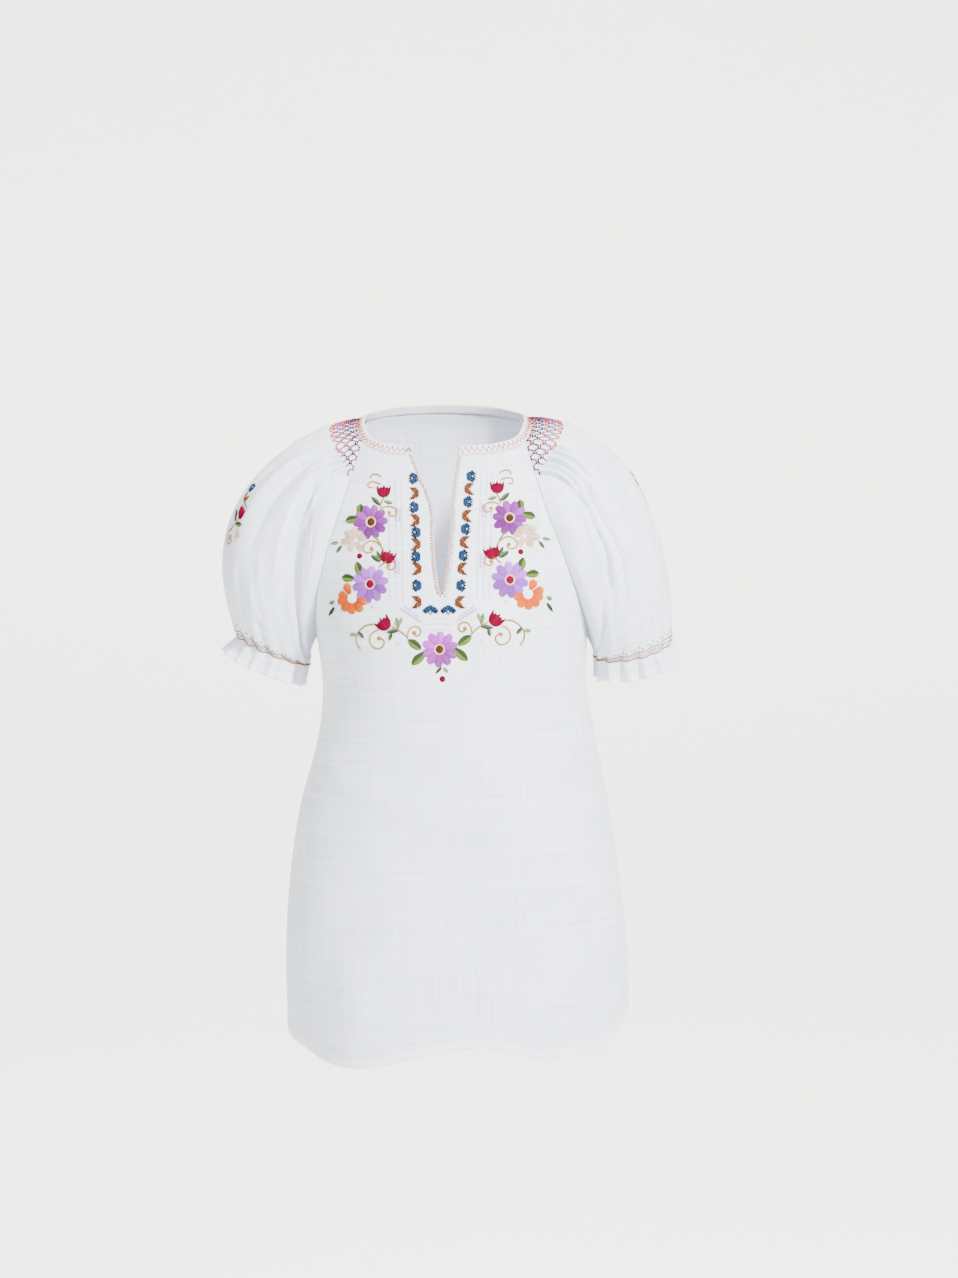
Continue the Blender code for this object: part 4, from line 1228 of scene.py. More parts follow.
def grow(made, tree, inputs, values):
    """Runs a tree on an object and keeps the result as its plain mesh."""
    modifier = made.modifiers.new("threads", "NODES")
    modifier.node_group = tree
    for label, value in values.items():
        modifier[inputs[label]] = value
    made.update_tag()
    graph = bpy.context.evaluated_depsgraph_get()
    graph.update()
    grown = bpy.data.meshes.new_from_object(made.evaluated_get(graph))
    made.modifiers.remove(modifier)
    old = made.data
    made.data = grown
    grown.name = made.name
    bpy.data.meshes.remove(old)
    return made


# %% [markdown]
# ## A needle that knows a few stitches
#
# The stitches are drawn flat, in millimetres on the cloth, and laid on its form at the end by a
# function called ground. So a daisy is drawn the same way on the front and on a sleeve. Long flat
# fillings are satin stitch, lines are stem stitch, and the small blue and brown figures are cross
# stitch from charts that are counted like those in a pattern book.

# %% The needle


def curve(points, step=0.35):
    """A smooth line through a few points, as close points."""
    points = np.array(points, float)
    steps = np.linalg.norm(np.diff(points, axis=0), axis=1)
    length = np.concatenate([[0], np.cumsum(steps)])
    table = {"length": length, "x": points[:, 0], "z": points[:, 1]}
    at = np.linspace(0, length[-1], max(4, int(length[-1] / step)))
    return np.stack([smooth(table, "x", at, by="length"), smooth(table, "z", at, by="length")], axis=-1)


TULIP_CROWN = ((-0.9, 0.2, 0.34), (-0.45, 0.16, 0.10), (0.0, 0.2, 0.24), (0.45, 0.16, 0.10), (0.9, 0.2, 0.34))


SATIN_THREAD = 0.36
END_DIVE = 0.25
MIRROR_SHIFT = np.array([-4.5, 3.8])


class Needle:
    """Collects stitches on one piece of cloth and sews them all at the end."""

    def __init__(self, ground, seed):
        self.ground = ground
        self.chance = np.random.default_rng(seed)
        self.mirrored = False
        self.places, self.radii, self.tints, self.counts = [], [], [], []

    def strand(self, path, lifts, radius, tint):
        """One thread through flat places, at some heights over the cloth."""
        count = len(path)
        if self.mirrored:
            path = path * np.array([-1.0, 1.0]) + MIRROR_SHIFT
        self.places.append(np.column_stack([path, np.broadcast_to(lifts, count)]))
        self.radii.append(np.broadcast_to(radius, count))
        self.tints.append(np.broadcast_to(np.asarray(tint, float), (count, 3)))
        self.counts.append(count)

    def stitch(self, start, end, tint, radius=0.34, rise=0.35, points=4):
        """A straight stitch."""
        t = np.linspace(0, 1, points)
        start, end = np.asarray(start, float), np.asarray(end, float)
        lifts = -END_DIVE + (rise + END_DIVE) * np.abs(np.sin(math.pi * t)) ** 0.6
        shade = self.chance.uniform(0.93, 1.06)
        self.strand(start + (end - start) * t[:, None], lifts, radius, np.asarray(tint, float) * shade)

    def stem(self, path, first, last, width=1.15, radius=0.42, stride=4, reach=9, rise=0.35):
        """Stem stitch: short slanted stitches that overlap along a line."""
        fine = curve(path)
        count = len(fine)
        for k in range(0, count - 2, stride):
            end = min(k + reach, count - 1)
            piece = fine[np.linspace(k, end, 4).astype(int)]
            forward = unit(piece[-1] - piece[0])
            aside = np.array([-forward[1], forward[0]])
            path_here = piece + aside * np.linspace(0.5, -0.5, 4)[:, None] * width
            lifts = np.array([-0.15, rise, rise, -0.1])
            tint = np.asarray(first) + (np.asarray(last, float) - np.asarray(first)) * k / count
            self.strand(path_here, lifts, radius, tint * self.chance.uniform(0.94, 1.06))

    def petal(self, centre, degrees, inner, outer, width, near, far, threads=13):
        """A petal of satin stitch, rounded at its tip and full in its middle."""
        turn = math.radians(degrees)
        t = np.linspace(0, 1, 6)
        for s in np.linspace(-1, 1, threads):
            reach = outer - 0.26 * (outer - inner) * abs(s) ** 3 + self.chance.normal(0, 0.12)
            r = inner + (reach - inner) * t
            narrow = 1 - 0.16 * abs(s) * ramp(t, 0.8, 1.0)
            aside = s * width * np.minimum(1.0, 0.30 + 1.0 * (r - inner) / (outer - inner)) * narrow
            x = centre[0] + r * math.cos(turn) - aside * math.sin(turn)
            z = centre[1] + r * math.sin(turn) + aside * math.cos(turn)
            lifts = -0.2 + (0.95 - 0.4 * s * s) * np.abs(np.sin(math.pi * t)) ** 0.55
            blend = (t**1.2)[:, None]
            # The threads at the petal's two sides are painted darker, a painted shade where the padded petal
            # dips between its neighbours; the rest of this factor is a random tone.
            shade = self.chance.uniform(0.93, 1.05) * (1 - 0.10 * s * s)
            tint = (np.asarray(near) * (1 - blend) + np.asarray(far) * blend) * shade
            self.strand(np.stack([x, z], axis=-1), lifts, SATIN_THREAD, tint)

    def disc(self, centre, radius, tint, rise=0.8, spacing=0.5):
        """A filled disc of satin stitch."""
        for v in np.arange(-radius + 0.2, radius - 0.1, spacing):
            half = math.sqrt(max(0.04, radius * radius - v * v))
            bulge = rise * math.sqrt(max(0.1, 1 - (v / radius) ** 2))
            left, right = (centre[0] - half, centre[1] + v), (centre[0] + half, centre[1] + v)
            self.stitch(left, right, tint, SATIN_THREAD, bulge)

    def ring(self, centre, radius, tint, width=0.6):
        """A ring of stem stitch."""
        turn = np.linspace(0, 2 * math.pi, 17)
        path = np.stack([centre[0] + radius * np.cos(turn), centre[1] + radius * np.sin(turn)], axis=-1)
        self.stem(path, tint, tint, width)

    def leaf(self, tip, base, width, light, dark):
        """A leaf of slanting satin stitches, light on one side of its rib and dark on the other."""
        tip, base = np.array(tip, float), np.array(base, float)
        length = np.linalg.norm(tip - base)
        forward = (tip - base) / length
        aside = np.array([-forward[1], forward[0]])
        count = max(5, int(length / 0.62))
        for t in np.linspace(0.02, 0.93, count):
            spread = width / 2 * math.sin(math.pi * (0.12 + 0.88 * t) ** 0.8)
            start = base + forward * length * t
            for side, tint in ((1, light), (-1, dark)):
                end = start + aside * side * spread + forward * min(spread * 0.8, length * (1 - t))
                self.stitch(start - aside * side * 0.15, end, tint, SATIN_THREAD, 0.55)

    def tulip(self, centre, degrees, size, tint):
        """A closed flower of satin stitch with a crown of three points and two spikes beside it."""
        turn = math.radians(degrees)
        forward = np.array([math.cos(turn), math.sin(turn)])
        aside = np.array([-forward[1], forward[0]])
        for u in np.linspace(-0.96, 0.96, 21):
            low = -0.52 * math.sqrt(1 - u * u) - 0.04
            peaks = [max(0.0, 1 - abs(u - at) / wide) * tall for at, wide, tall in TULIP_CROWN]
            high = 0.30 * (1 - 0.55 * u * u) + max(peaks)
            middle = np.array(centre) + aside * u * size * 0.52
            start = middle + forward * low * size
            end = middle + forward * high * size + aside * u * size * 0.06
            # Stitches towards the tulip's two sides are painted darker, a painted shade where its padding
            # rounds down to the cloth.
            self.stitch(start, end, np.asarray(tint) * (1.0 - 0.12 * abs(u)), 0.38, 0.9 - 0.35 * u * u, 5)

    def figure(self, chart, dyes, corner, quarter_turns=0, flip=False, pitch=1.25):
        """A cross-stitch figure from a chart, whose middle lies at a corner given in millimetres."""
        rows = [list(row) for row in chart]
        if flip:
            rows = [row[::-1] for row in rows]
        cells = np.rot90(np.array(rows), quarter_turns)
        high, wide = cells.shape
        for (row, column), mark in np.ndenumerate(cells):
            if mark == ".":
                continue
            x = corner[0] + (column - (wide - 1) / 2) * pitch
            z = corner[1] - (row - (high - 1) / 2) * pitch
            x += self.chance.normal(0, 0.05)
            half = pitch * 0.56
            self.stitch((x - half, z - half), (x + half, z + half), dyes[mark], 0.40, 0.20, 3)
            self.stitch((x - half, z + half), (x + half, z - half), dyes[mark], 0.40, 0.48, 3)

    def zigzag(self, start, end, width, period, tint, radius=0.3, rise=0.35):
        """A zigzag of straight stitches along a straight line."""
        start, end = np.array(start, float), np.array(end, float)
        length = np.linalg.norm(end - start)
        forward = (end - start) / length
        aside = np.array([-forward[1], forward[0]]) * width / 2
        count = max(2, int(round(2 * length / period)))
        at = [start + forward * length * k / count + aside * (1 if k % 2 else -1) for k in range(count + 1)]
        for here, there in zip(at[:-1], at[1:]):
            self.stitch(here, there, tint, radius, rise)

    def running(self, path, dash, gap, tint, radius=0.2, rise=0.2):
        """Small stitches in a line with gaps between them."""
        fine = curve(path, 0.2)
        stride, reach = int((dash + gap) / 0.2), int(dash / 0.2)
        for k in range(0, len(fine) - reach, stride):
            self.stitch(fine[k], fine[k + reach], tint, radius, rise)

    def sew(self, name, sides=5, fullness=1.0):
        """Lays the stitches on the cloth and turns them into threads."""
        places = np.concatenate(self.places)
        points = self.ground(places[:, 0], places[:, 1], places[:, 2])
        radii, tints = np.concatenate(self.radii), np.concatenate(self.tints)
        made = lines_object(name, points, self.counts, radii, tints)
        grow(made, thread_tree, thread_inputs, {"Sides": sides, "Fullness": fullness})
        print(name, "-", len(self.counts), "stitches,", len(made.data.polygons), "faces")
        return made


# %% [markdown]
# ## The flowers of the front
#
# Two garlands run down beside the slit and meet in a daisy below it. A maker draws one side, and turns
# the pattern over for the other, and the two never come out quite the same. So the left half is given
# here in millimetres, and the right half is its mirror image, moved a little.

# %% Dyes
CRIMSON, RUBY = (130, 0, 48), (116, 0, 40)
ORANGE, APRICOT = (214, 80, 12), (252, 126, 34)
PALE_PEACH, PALE_ROSE = (252, 238, 212), (250, 190, 172)
EARTH, PEACH_RING = (85, 49, 29), (252, 203, 140)
LEAF_LIGHT, LEAF_DARK = (106, 132, 56), (61, 78, 44)
PALE_LEAF, GREY_LEAF = (147, 172, 105), (103, 119, 87)
GOLD, PEACH_GOLD, OLIVE_GOLD, GOLD_CORE = (183, 137, 24), (207, 146, 67), (140, 136, 58), (182, 133, 8)
LILAC, PALE_LILAC, GREY = (177, 124, 220), (200, 160, 246), (158, 150, 166)
PEACH, TAN = (227, 126, 91), (154, 116, 78)
WHITE = (250, 248, 246)
DAISY_DYES = {
    "purple": ((118, 40, 128), (146, 56, 160), (172, 84, 192)),
    "lavender": ((144, 68, 184), (172, 90, 214), (196, 120, 240)),
    "orchid": ((158, 58, 168), (184, 74, 198), (208, 98, 226)),
}

# %% Daisies, tulips and leaves
# The places on the front were read from the photograph and turned into millimetres beforehand.
DAISIES = (
    ((-65.3, -107.1), 16.3, "purple", EARTH, 4),
    ((-65.4, -163.6), 17.4, "lavender", CRIMSON, 12),
)
TULIPS = (((-54.0, -78.4), 88, 11.5), ((-49.0, -138.6), 72, 12.5), ((-52.8, -198.9), 128, 12.5))
LEAVES = (
    ((-74.9, -90.2), (-76.2, -100.5), 7.0), ((-89.1, -106.0), (-77.2, -103.0), 7.4),
    ((-77.9, -143.0), (-74.0, -157.0), 7.4), ((-92.0, -157.3), (-79.6, -158.8), 7.4),
    ((-31.0, -213.4), (-18.6, -222.2), 7.6), ((-27.6, -236.3), (-14.8, -224.8), 8.0),
)
SMALL_LEAVES = (
    ((-102.8, -126.7), (-95.1, -125.5), 3.0, PALE_LEAF, GREY_LEAF),
    ((-97.1, -134.9), (-92.0, -128.4), 3.2, GREY_LEAF, LEAF_DARK),
    ((-103.9, -181.2), (-98.5, -178.9), 4.0, GREY_LEAF, PALE_LEAF),
    ((-104.8, -192.6), (-99.0, -184.4), 3.2, LEAF_DARK, LEAF_DARK),
    ((-84.6, -209.4), (-77.8, -209.3), 3.6, PALE_LEAF, PALE_LEAF),
    ((-71.0, -212.6), (-76.3, -206.8), 3.4, LEAF_DARK, GREY_LEAF),
    ((-65.4, -83.6), (-56.9, -91.6), 4.2, LEAF_DARK, GREY_LEAF),
    ((-45.2, -90.2), (-53.6, -88.0), 3.4, PALE_LEAF, GREY_LEAF),
    ((-64.6, -137.4), (-55.8, -143.4), 4.4, LEAF_DARK, GREY_LEAF),
    ((-59.4, -133.4), (-55.4, -143.0), 3.4, GREY_LEAF, LEAF_DARK),
    ((-50.6, -207.0), (-38.6, -204.8), 4.0, LEAF_DARK, GREY_LEAF),
    ((-47.6, -214.6), (-45.6, -206.8), 3.4, LEAF_DARK, GREY_LEAF),
    ((-41.6, -193.6), (-39.4, -203.9), 4.2, PALE_LEAF, GREY_LEAF),
    ((-36.2, -193.4), (-39.0, -201.0), 3.2, PALE_LEAF, PALE_LEAF),
)
PALE_DAISY = ((-79.0, -123.5), ((60, 12.0), (100, 12.5), (140, 13.5), (185, 14.5), (235, 12.5), (300, 12.0),
                                (15, 11.0)))
PETAL_FULLNESS = 2.32
HEART_RADIUS = 4.4
HALF_DAISY = ((-82.0, -176.5), (115, 163, 194, 230, 268, 308, 347))


def daisy(needle, centre, size, dyes, heart, start, petals=10):
    """A daisy: petals round a filled heart in a pale ring."""
    near, middle, far = (np.array(tone, float) for tone in DAISY_DYES[dyes])
    for k in range(petals):
        mood = needle.chance.uniform(0, 0.45) + (0.55 if k % 2 else 0.0)
        # Painted light and shade: petals on one side of each daisy are painted lighter, and those on the
        # opposite side darker.
        painted_sunlight = 1.02 + 0.14 * math.cos(math.radians(start + 360.0 * k / petals - 125.0))
        tip = middle * mood + far * (1 - mood)
        root = near * (0.5 + 0.5 * mood) + tip * (0.5 - 0.5 * mood)
        outer = size * needle.chance.uniform(0.95, 1.02)
        width = PETAL_FULLNESS * size / petals
        needle.petal(centre, start + 360.0 * k / petals, HEART_RADIUS, outer, width, root * painted_sunlight, tip * painted_sunlight)
    needle.ring(centre, 4.5, PEACH_RING)
    needle.disc(centre, 3.5, heart)


def half_flowers(needle):
    """All filled shapes of one garland."""
    for centre, size, dyes, heart, start in DAISIES:
        daisy(needle, centre, size, dyes, heart, start)
    for centre, degrees, size in TULIPS:
        needle.tulip(centre, degrees, size, CRIMSON)
    for tip, base, width in LEAVES:
        needle.leaf(tip, base, width, LEAF_LIGHT, LEAF_DARK)
    for tip, base, width, light, dark in SMALL_LEAVES:
        needle.leaf(tip, base, width, light, dark)
    centre, turns = HALF_DAISY
    for degrees in turns:
        needle.petal(centre, degrees, HEART_RADIUS, needle.chance.uniform(13.6, 15.0), 4.1, ORANGE, APRICOT)
    centre, petals = PALE_DAISY
    for degrees, outer in petals:
        needle.petal(centre, degrees, 2.0, outer, 3.4, PALE_ROSE, PALE_PEACH, 9)
    needle.disc((-75.3, -138.1), 2.5, RUBY)
    needle.disc((-39.8, -217.6), 1.8, WHITE, 0.5)
    needle.disc((-62.5, -183.4), 1.8, WHITE, 0.5)


flowers = Needle(front_ground, 3)
for flowers.mirrored in (False, True):
    half_flowers(flowers)
flowers.mirrored = False
daisy(flowers, (-2.3, -222.2), 17.0, "orchid", EARTH, 87)
flowers.disc((0.3, -248.6), 2.7, RUBY)
flowers.leaf((-5.8, -243.6), (-0.6, -238.4), 2.6, LEAF_DARK, LEAF_DARK)
flowers.leaf((5.4, -243.0), (0.8, -238.6), 2.6, GREY_LEAF, PALE_LEAF)
front_flowers = flowers.sew("front_flowers")

# %% Scrolls and stems
# Each scroll runs through places read along its line and turned into millimetres beforehand.
SCROLLS = (
    (OLIVE_GOLD, TAN, ((-55.7, -65.5), (-59.6, -63.2), (-63.4, -62.6), (-66.4, -64.0), (-66.3, -66.6))),
    (GOLD, PEACH_GOLD, ((-56.1, -72.7), (-61.2, -70.4), (-66.6, -70.0), (-68.8, -72.5), (-67.8, -74.8),
                        (-65.6, -75.4), (-64.5, -74.3))),
    (OLIVE_GOLD, GOLD, ((-52.6, -83.6), (-55.4, -88.0), (-57.1, -93.8))),
    (GOLD, PEACH_GOLD, ((-57.2, -95.4), (-53.4, -93.6), (-48.9, -93.0), (-44.2, -94.4), (-41.4, -97.6),
                        (-42.2, -100.8), (-45.4, -102.0), (-48.7, -100.6), (-49.2, -98.3), (-47.1, -97.8))),
    (OLIVE_GOLD, GOLD, ((-63.5, -119.3), (-59.8, -122.4), (-56.4, -127.0), (-54.2, -133.0), (-54.0, -137.4))),
    (GOLD, PEACH_GOLD, ((-56.4, -128.6), (-60.1, -125.5), (-65.6, -124.5), (-70.1, -127.0), (-72.0, -130.9),
                        (-70.6, -134.2), (-67.2, -135.4), (-63.8, -134.3), (-62.7, -131.5), (-65.0, -129.8))),
    (OLIVE_GOLD, PEACH_GOLD, ((-57.6, -149.0), (-52.7, -144.6), (-47.2, -142.4), (-43.1, -143.8),
                              (-42.2, -147.4), (-44.9, -150.5), (-49.4, -149.6), (-49.5, -146.5),
                              (-46.7, -146.3))),
    (PEACH_GOLD, OLIVE_GOLD, ((-46.4, -201.0), (-39.8, -204.8), (-34.7, -208.2), (-30.0, -213.0))),
    (GOLD, OLIVE_GOLD, ((-60.8, -199.7), (-67.9, -200.6), (-74.2, -205.0), (-77.8, -210.2), (-78.3, -215.4),
                        (-76.6, -219.4), (-74.0, -222.4))),
    (PEACH_GOLD, OLIVE_GOLD, ((-57.2, -204.6), (-62.0, -206.8), (-65.0, -210.6), (-65.5, -215.4),
                              (-62.5, -220.4), (-57.3, -221.8), (-52.8, -218.8), (-52.6, -214.3),
                              (-55.6, -212.4))),
    (PEACH_GOLD, OLIVE_GOLD, ((-30.8, -212.4), (-30.6, -207.4), (-28.4, -203.4), (-24.3, -201.6),
                              (-20.2, -203.4), (-19.2, -207.2), (-21.2, -210.0), (-24.6, -210.0))),
)
SCROLL_CORES = (
    ((-48.0, -98.4), 1.1, GOLD), ((-64.8, -131.6), 1.5, GOLD_CORE), ((-48.2, -147.2), 1.1, GOLD),
    ((-57.0, -212.4), 1.9, GOLD_CORE), ((-25.0, -207.4), 1.9, GOLD_CORE),
)

scrolls = Needle(front_ground, 4)
for scrolls.mirrored in (False, True):
    for first, last, path in SCROLLS:
        scrolls.stem(path, first, last)
    for centre, size, tint in SCROLL_CORES:
        scrolls.disc(centre, size, tint, 0.6)
front_scrolls = scrolls.sew("front_scrolls")

# %% [markdown]
# ## Counted cross stitch and pulled threads
#
# Blue fans and brown chevrons follow the slit in two columns, each a small figure counted on the weave.
# The charts below were drawn for this lesson, one letter for each cross. Beside the columns run
# fine lines of running stitch in grey and lilac, with small zigzags.

# %% Charts
FAN_CHART = (
    "..nn...",
    ".nnbbb.",
    "nntbbbb",
    ".nnbbbb",
    "dnwnbbb",
    ".nnbbbb",
    "nntbbbb",
    ".nnbbb.",
    "..nn...",
)
CHEVRON_CHART = (
    "rrrrr..",
    ".rrror.",
    "..rrorr",
    "..yrror",
    "...yrrr",
    "..yrror",
    "..rrorr",
    ".rrror.",
    "rrrr...",
)
BOTTOM_FAN_CHART = (
    "....bbb....",
    "..bbtbbbb..",
    ".bbbbtbbbb.",
    "bbnbbnbbnbb",
    "nnbnbwbnbnn",
    ".nn.nwn.nn.",
    ".....d.....",
)
CROSS_DYES = {
    "d": (28, 19, 35),
    "w": WHITE,
    "n": (21, 34, 67),
    "b": (30, 65, 108),
    "t": (31, 77, 84),
    "r": (110, 58, 33),
    "o": (142, 79, 43),
    "y": (236, 176, 60),
}
LEFT_COLUMN = ((-27, -67), (-26, -81), (-26, -94), (-25, -106), (-24, -117), (-24, -128), (-24, -139),
               (-23, -150), (-23, -165), (-23, -180))
RIGHT_COLUMN = ((26, -65), (24, -77), (23, -89), (22, -102), (21, -114), (20, -126), (19, -138), (18, -150),
                (17, -165), (16, -180))

# %% Crosses, lines and zigzags
crosses = Needle(front_ground, 5)
for column, flip in ((LEFT_COLUMN, False), (RIGHT_COLUMN, True)):
    for number, corner in enumerate(column):
        chart = CHEVRON_CHART if number % 2 else FAN_CHART
        crosses.figure(chart, CROSS_DYES, corner, 0, flip)
for corner in ((-10.5, -187), (5.5, -187)):
    crosses.figure(BOTTOM_FAN_CHART, CROSS_DYES, corner)
for x, tint in ((-47.5, GREY), (-41.0, LILAC), (-35.5, GREY)):
    crosses.running(((x - 3.0, -68.0), (x - 1.0, -120.0), (x, -180.0)), 1.0, 0.7, tint, 0.32)
for x, tint in ((31.0, GREY), (36.5, LILAC), (42.0, GREY)):
    crosses.running(((x + 4.0, -64.0), (x + 1.5, -120.0), (x, -176.0)), 1.0, 0.7, tint, 0.32)
for x, z in ((-40.5, -101.0), (-41.0, -148.0), (37.5, -97.0), (36.0, -143.0)):
    crosses.zigzag((x - 1.5, z + 6.5), (x - 1.5, z - 6.5), 3.0, 3.4, LILAC, 0.32)
    crosses.zigzag((x + 1.8, z + 5.0), (x + 1.8, z - 6.0), 2.4, 3.0, PALE_LILAC, 0.32)
crosses.zigzag((-37, -186), (-19, -198), 2.6, 3.2, LILAC, 0.34)
crosses.zigzag((-34, -183.6), (-21, -193.6), 2.2, 3.0, PALE_LILAC, 0.30)
crosses.zigzag((13, -197), (31, -186), 2.6, 3.2, LILAC, 0.34)
crosses.zigzag((15, -193), (29, -183.6), 2.2, 3.0, PALE_LILAC, 0.30)
for z, left, right in ((-195.0, -12.0, 7.0), (-200.0, -18.0, 10.0), (-205.0, -14.0, 8.0)):
    crosses.running(((left, z - 0.4), (0.0, z + 0.4), (right, z - 0.2)), 1.6, 0.6, GREY, 0.26)
front_cross_stitch = crosses.sew("front_cross_stitch", 4)

# %% [markdown]
# ## Stitching on the neck and the slit
#
# The binding is held down by an open herringbone in peach and tan, and the slit's edge by a close
# zigzag. Both are zigzags along a curved band, so they are drawn in the band's own flat coordinates:
# how far along it, and how far across.

# %% Herringbone on the binding
neck_work = Needle(binding_ground, 6)
HERRINGBONE_STEP = 5.6
count = int(neck_length / HERRINGBONE_STEP)
for k in range(count):
    s = (k + 0.15) * neck_length / count
    half = neck_length / count / 2
    jitter = neck_work.chance.normal(0, 0.25, 2)
    neck_work.stitch((s, 1.2), (s + half + 0.9, 7.6 + jitter[0]), PEACH, 0.44, 0.3, 5)
    tint = PEACH if k % 3 else TAN
    neck_work.stitch((s + half - 0.4, 7.6 + jitter[1]), (s + 2 * half + 0.5, 1.2), tint, 0.42, 0.42, 5)
    neck_work.stitch((s + half * 0.4, 0.9), (s + half * 1.3, 0.9), PEACH, 0.22, 0.2)
for s in np.arange(1.0, 6.5, 1.1):
    neck_work.stitch((s, 1.6), (s + 1.6, 7.4), TAN, 0.22, 0.35, 5)
for s in (0.7, neck_length - 0.7):
    for w in np.arange(0.6, 8.4, 2.0):
        neck_work.stitch((s, w), (s, w + 1.6), PEACH, 0.22, 0.2)
neck_stitching = neck_work.sew("neck_stitching", 4)

# %% Zigzag on the slit


def slit_ground(s, m, lift):
    """Points over the slit's edge at a distance s along it and a margin m outside the opening."""
    inner, outer = slit_path(0.4), slit_path(4.0)
    middle = (inner + outer) / 2
    steps = np.linalg.norm(np.diff(middle, axis=0), axis=1)
    length = np.concatenate([[0], np.cumsum(steps)])
    across = ((m - 0.4) / 3.6)[:, None]
    near = np.stack([np.interp(s, length, inner[:, axis]) for axis in (0, 1)], axis=-1)
    far = np.stack([np.interp(s, length, outer[:, axis]) for axis in (0, 1)], axis=-1)
    place = near + (far - near) * across
    crown = 0.45 - 0.35 * (2 * across[:, 0] - 1) ** 2
    return front_ground(place[:, 0], place[:, 1], lift + crown)


slit_length = np.linalg.norm(np.diff(slit_path(2.2), axis=0), axis=1).sum()
slit_work = Needle(slit_ground, 7)
ZIGZAG_PERIOD = 2.5
EDGE_PINK, EDGE_ROSE = (182, 62, 62), (108, 34, 50)
for k in range(int(slit_length / ZIGZAG_PERIOD)):
    s = k * ZIGZAG_PERIOD + 0.4
    tint = EDGE_PINK if slit_work.chance.random() < 0.6 else EDGE_ROSE
    wide = slit_work.chance.uniform(3.0, 3.8)
    slit_work.stitch((s, 0.6), (s + 1.15, wide), tint, 0.34, 0.25)
    slit_work.stitch((s + 1.15, wide), (s + 2.2, 0.6), PEACH if k % 2 else tint, 0.34, 0.35)
    slit_work.stitch((s + 0.9, wide + 0.1), (s + 1.7, wide - 0.4), EDGE_ROSE, 0.44, 0.3)
slit_stitching = slit_work.sew("slit_stitching", 4)

# %% [markdown]
# ## Smocking
#
# Smocking draws a wide cloth together: its pleats are held side by side by rows of thread that step up
# and down, so each pleat bulges between them in a small puff. The puffs were made with the sleeves.
# The rows are coloured from dark red at the seam to peach at the outer edge.

# %% Reading a sleeve


def sleeve_place(name, column, row, lift):
    """Points over a sleeve at fractional numbers of its fine columns and rows."""
    grid, normals = sleeve_grids[name]["points"], sleeve_grids[name]["normals"]
    rows, columns = grid.shape[:2]
    column = np.mod(column, columns)
    row = np.clip(row, 0, rows - 1.001)
    c0, r0 = np.floor(column).astype(int) % columns, np.floor(row).astype(int)
    c1, r1 = (c0 + 1) % columns, r0 + 1
    u, v = (column - np.floor(column))[:, None], (row - r0)[:, None]

    def read(values):
        near = values[r0, c0] * (1 - u) + values[r0, c1] * u
        far = values[r1, c0] * (1 - u) + values[r1, c1] * u
        return near * (1 - v) + far * v

    return read(grid) + unit(read(normals)) * lift[:, None]


def smock_ground(name):
    """The ground of a smocked patch: which pleat, and which level away from the seam."""
    places = sleeve_grids[name]["places"]
    shares = sleeve_grids[name]["shares"]

    def ground(pleat, level, lift):
        column = np.interp(pleat, places, np.arange(len(places)))
        row = np.interp(level * SMOCK_SHARE / SMOCK_LEVELS, shares, np.arange(len(shares)))
        return sleeve_place(name, column, row, lift)

    return ground


# %% Rows of smocking
SMOCK_DYES = ((128, 14, 38), (76, 44, 84), (176, 44, 72), (158, 92, 156), (226, 96, 72))
TWIST = 0.12
CELL_CORNERS = ((0.06, 0.84), (0.44, 0.84), (0.56, 0.16), (0.94, 0.16), (1.06, 0.84))


def smocking(name, seed):
    """The coloured rows of one sleeve's patch, each a chain of twisted pairs of threads."""
    work = Needle(smock_ground(name), seed)
    places = sleeve_grids[name]["places"]
    for row, tint in enumerate(SMOCK_DYES):
        for pleat in range(PLEATS):
            offset = 0.5 if row % 2 else 0.0
            for (q0, l0), (q1, l1) in zip(CELL_CORNERS[:-1], CELL_CORNERS[1:]):
                start = (pleat + offset + q0, row + l0)
                end = (pleat + offset + q1, row + l1)
                column = np.interp((start[0] + end[0]) / 2, places, fine_columns)
                if patch_level(column) < row + 0.35 or end[0] > PLEATS:
                    continue
                tone = np.array(tint) * work.chance.uniform(0.8, 1.1)
                for cross, radius, rise in ((-TWIST, 0.42, 0.6), (TWIST, 0.40, 0.8)):
                    under, over = (start[0] - 0.02, start[1] + cross), (end[0] + 0.02, end[1] - cross)
                    work.stitch(under, over, tone, radius, rise)
    return work.sew(name.replace("sleeve", "smocking"), 5)


smocking_right = smocking("sleeve_right", 11)
smocking_left = smocking("sleeve_left", 12)

# %% [markdown]
# ## Cuffs, sleeve flowers and hems
#
# Above each ruffle a peach zigzag between two tan lines holds the gathers, with small olive crosses over
# them. A flower group sits on the outer side of each sleeve. The hem is turned up and stitched with
# white thread, and here the second tree sets one small stitch after another along its path.

# %% Cuff stitching
CUFF_TAN, CUFF_OLIVE = (139, 119, 75), (123, 122, 80)


def cuff_ground(name):
    """The ground round a cuff: a distance round it and a distance above the ruffle."""
    grid = sleeve_grids[name]["points"]
    cuff_row = SMOCK_ROWS_FINE + PUFF_ROWS - 1
    ring = np.concatenate([grid[cuff_row], grid[cuff_row][:1]])
    around = np.concatenate([[0], np.cumsum(np.linalg.norm(np.diff(ring, axis=0), axis=1))])
    rise = np.linalg.norm(grid[cuff_row] - grid[cuff_row - 8], axis=1).mean() / 8

    def ground(s, d, lift):
        column = np.interp(np.mod(s, around[-1]), around, np.arange(len(around)))
        return sleeve_place(name, column, cuff_row - d / rise, lift)

    return ground, around[-1]


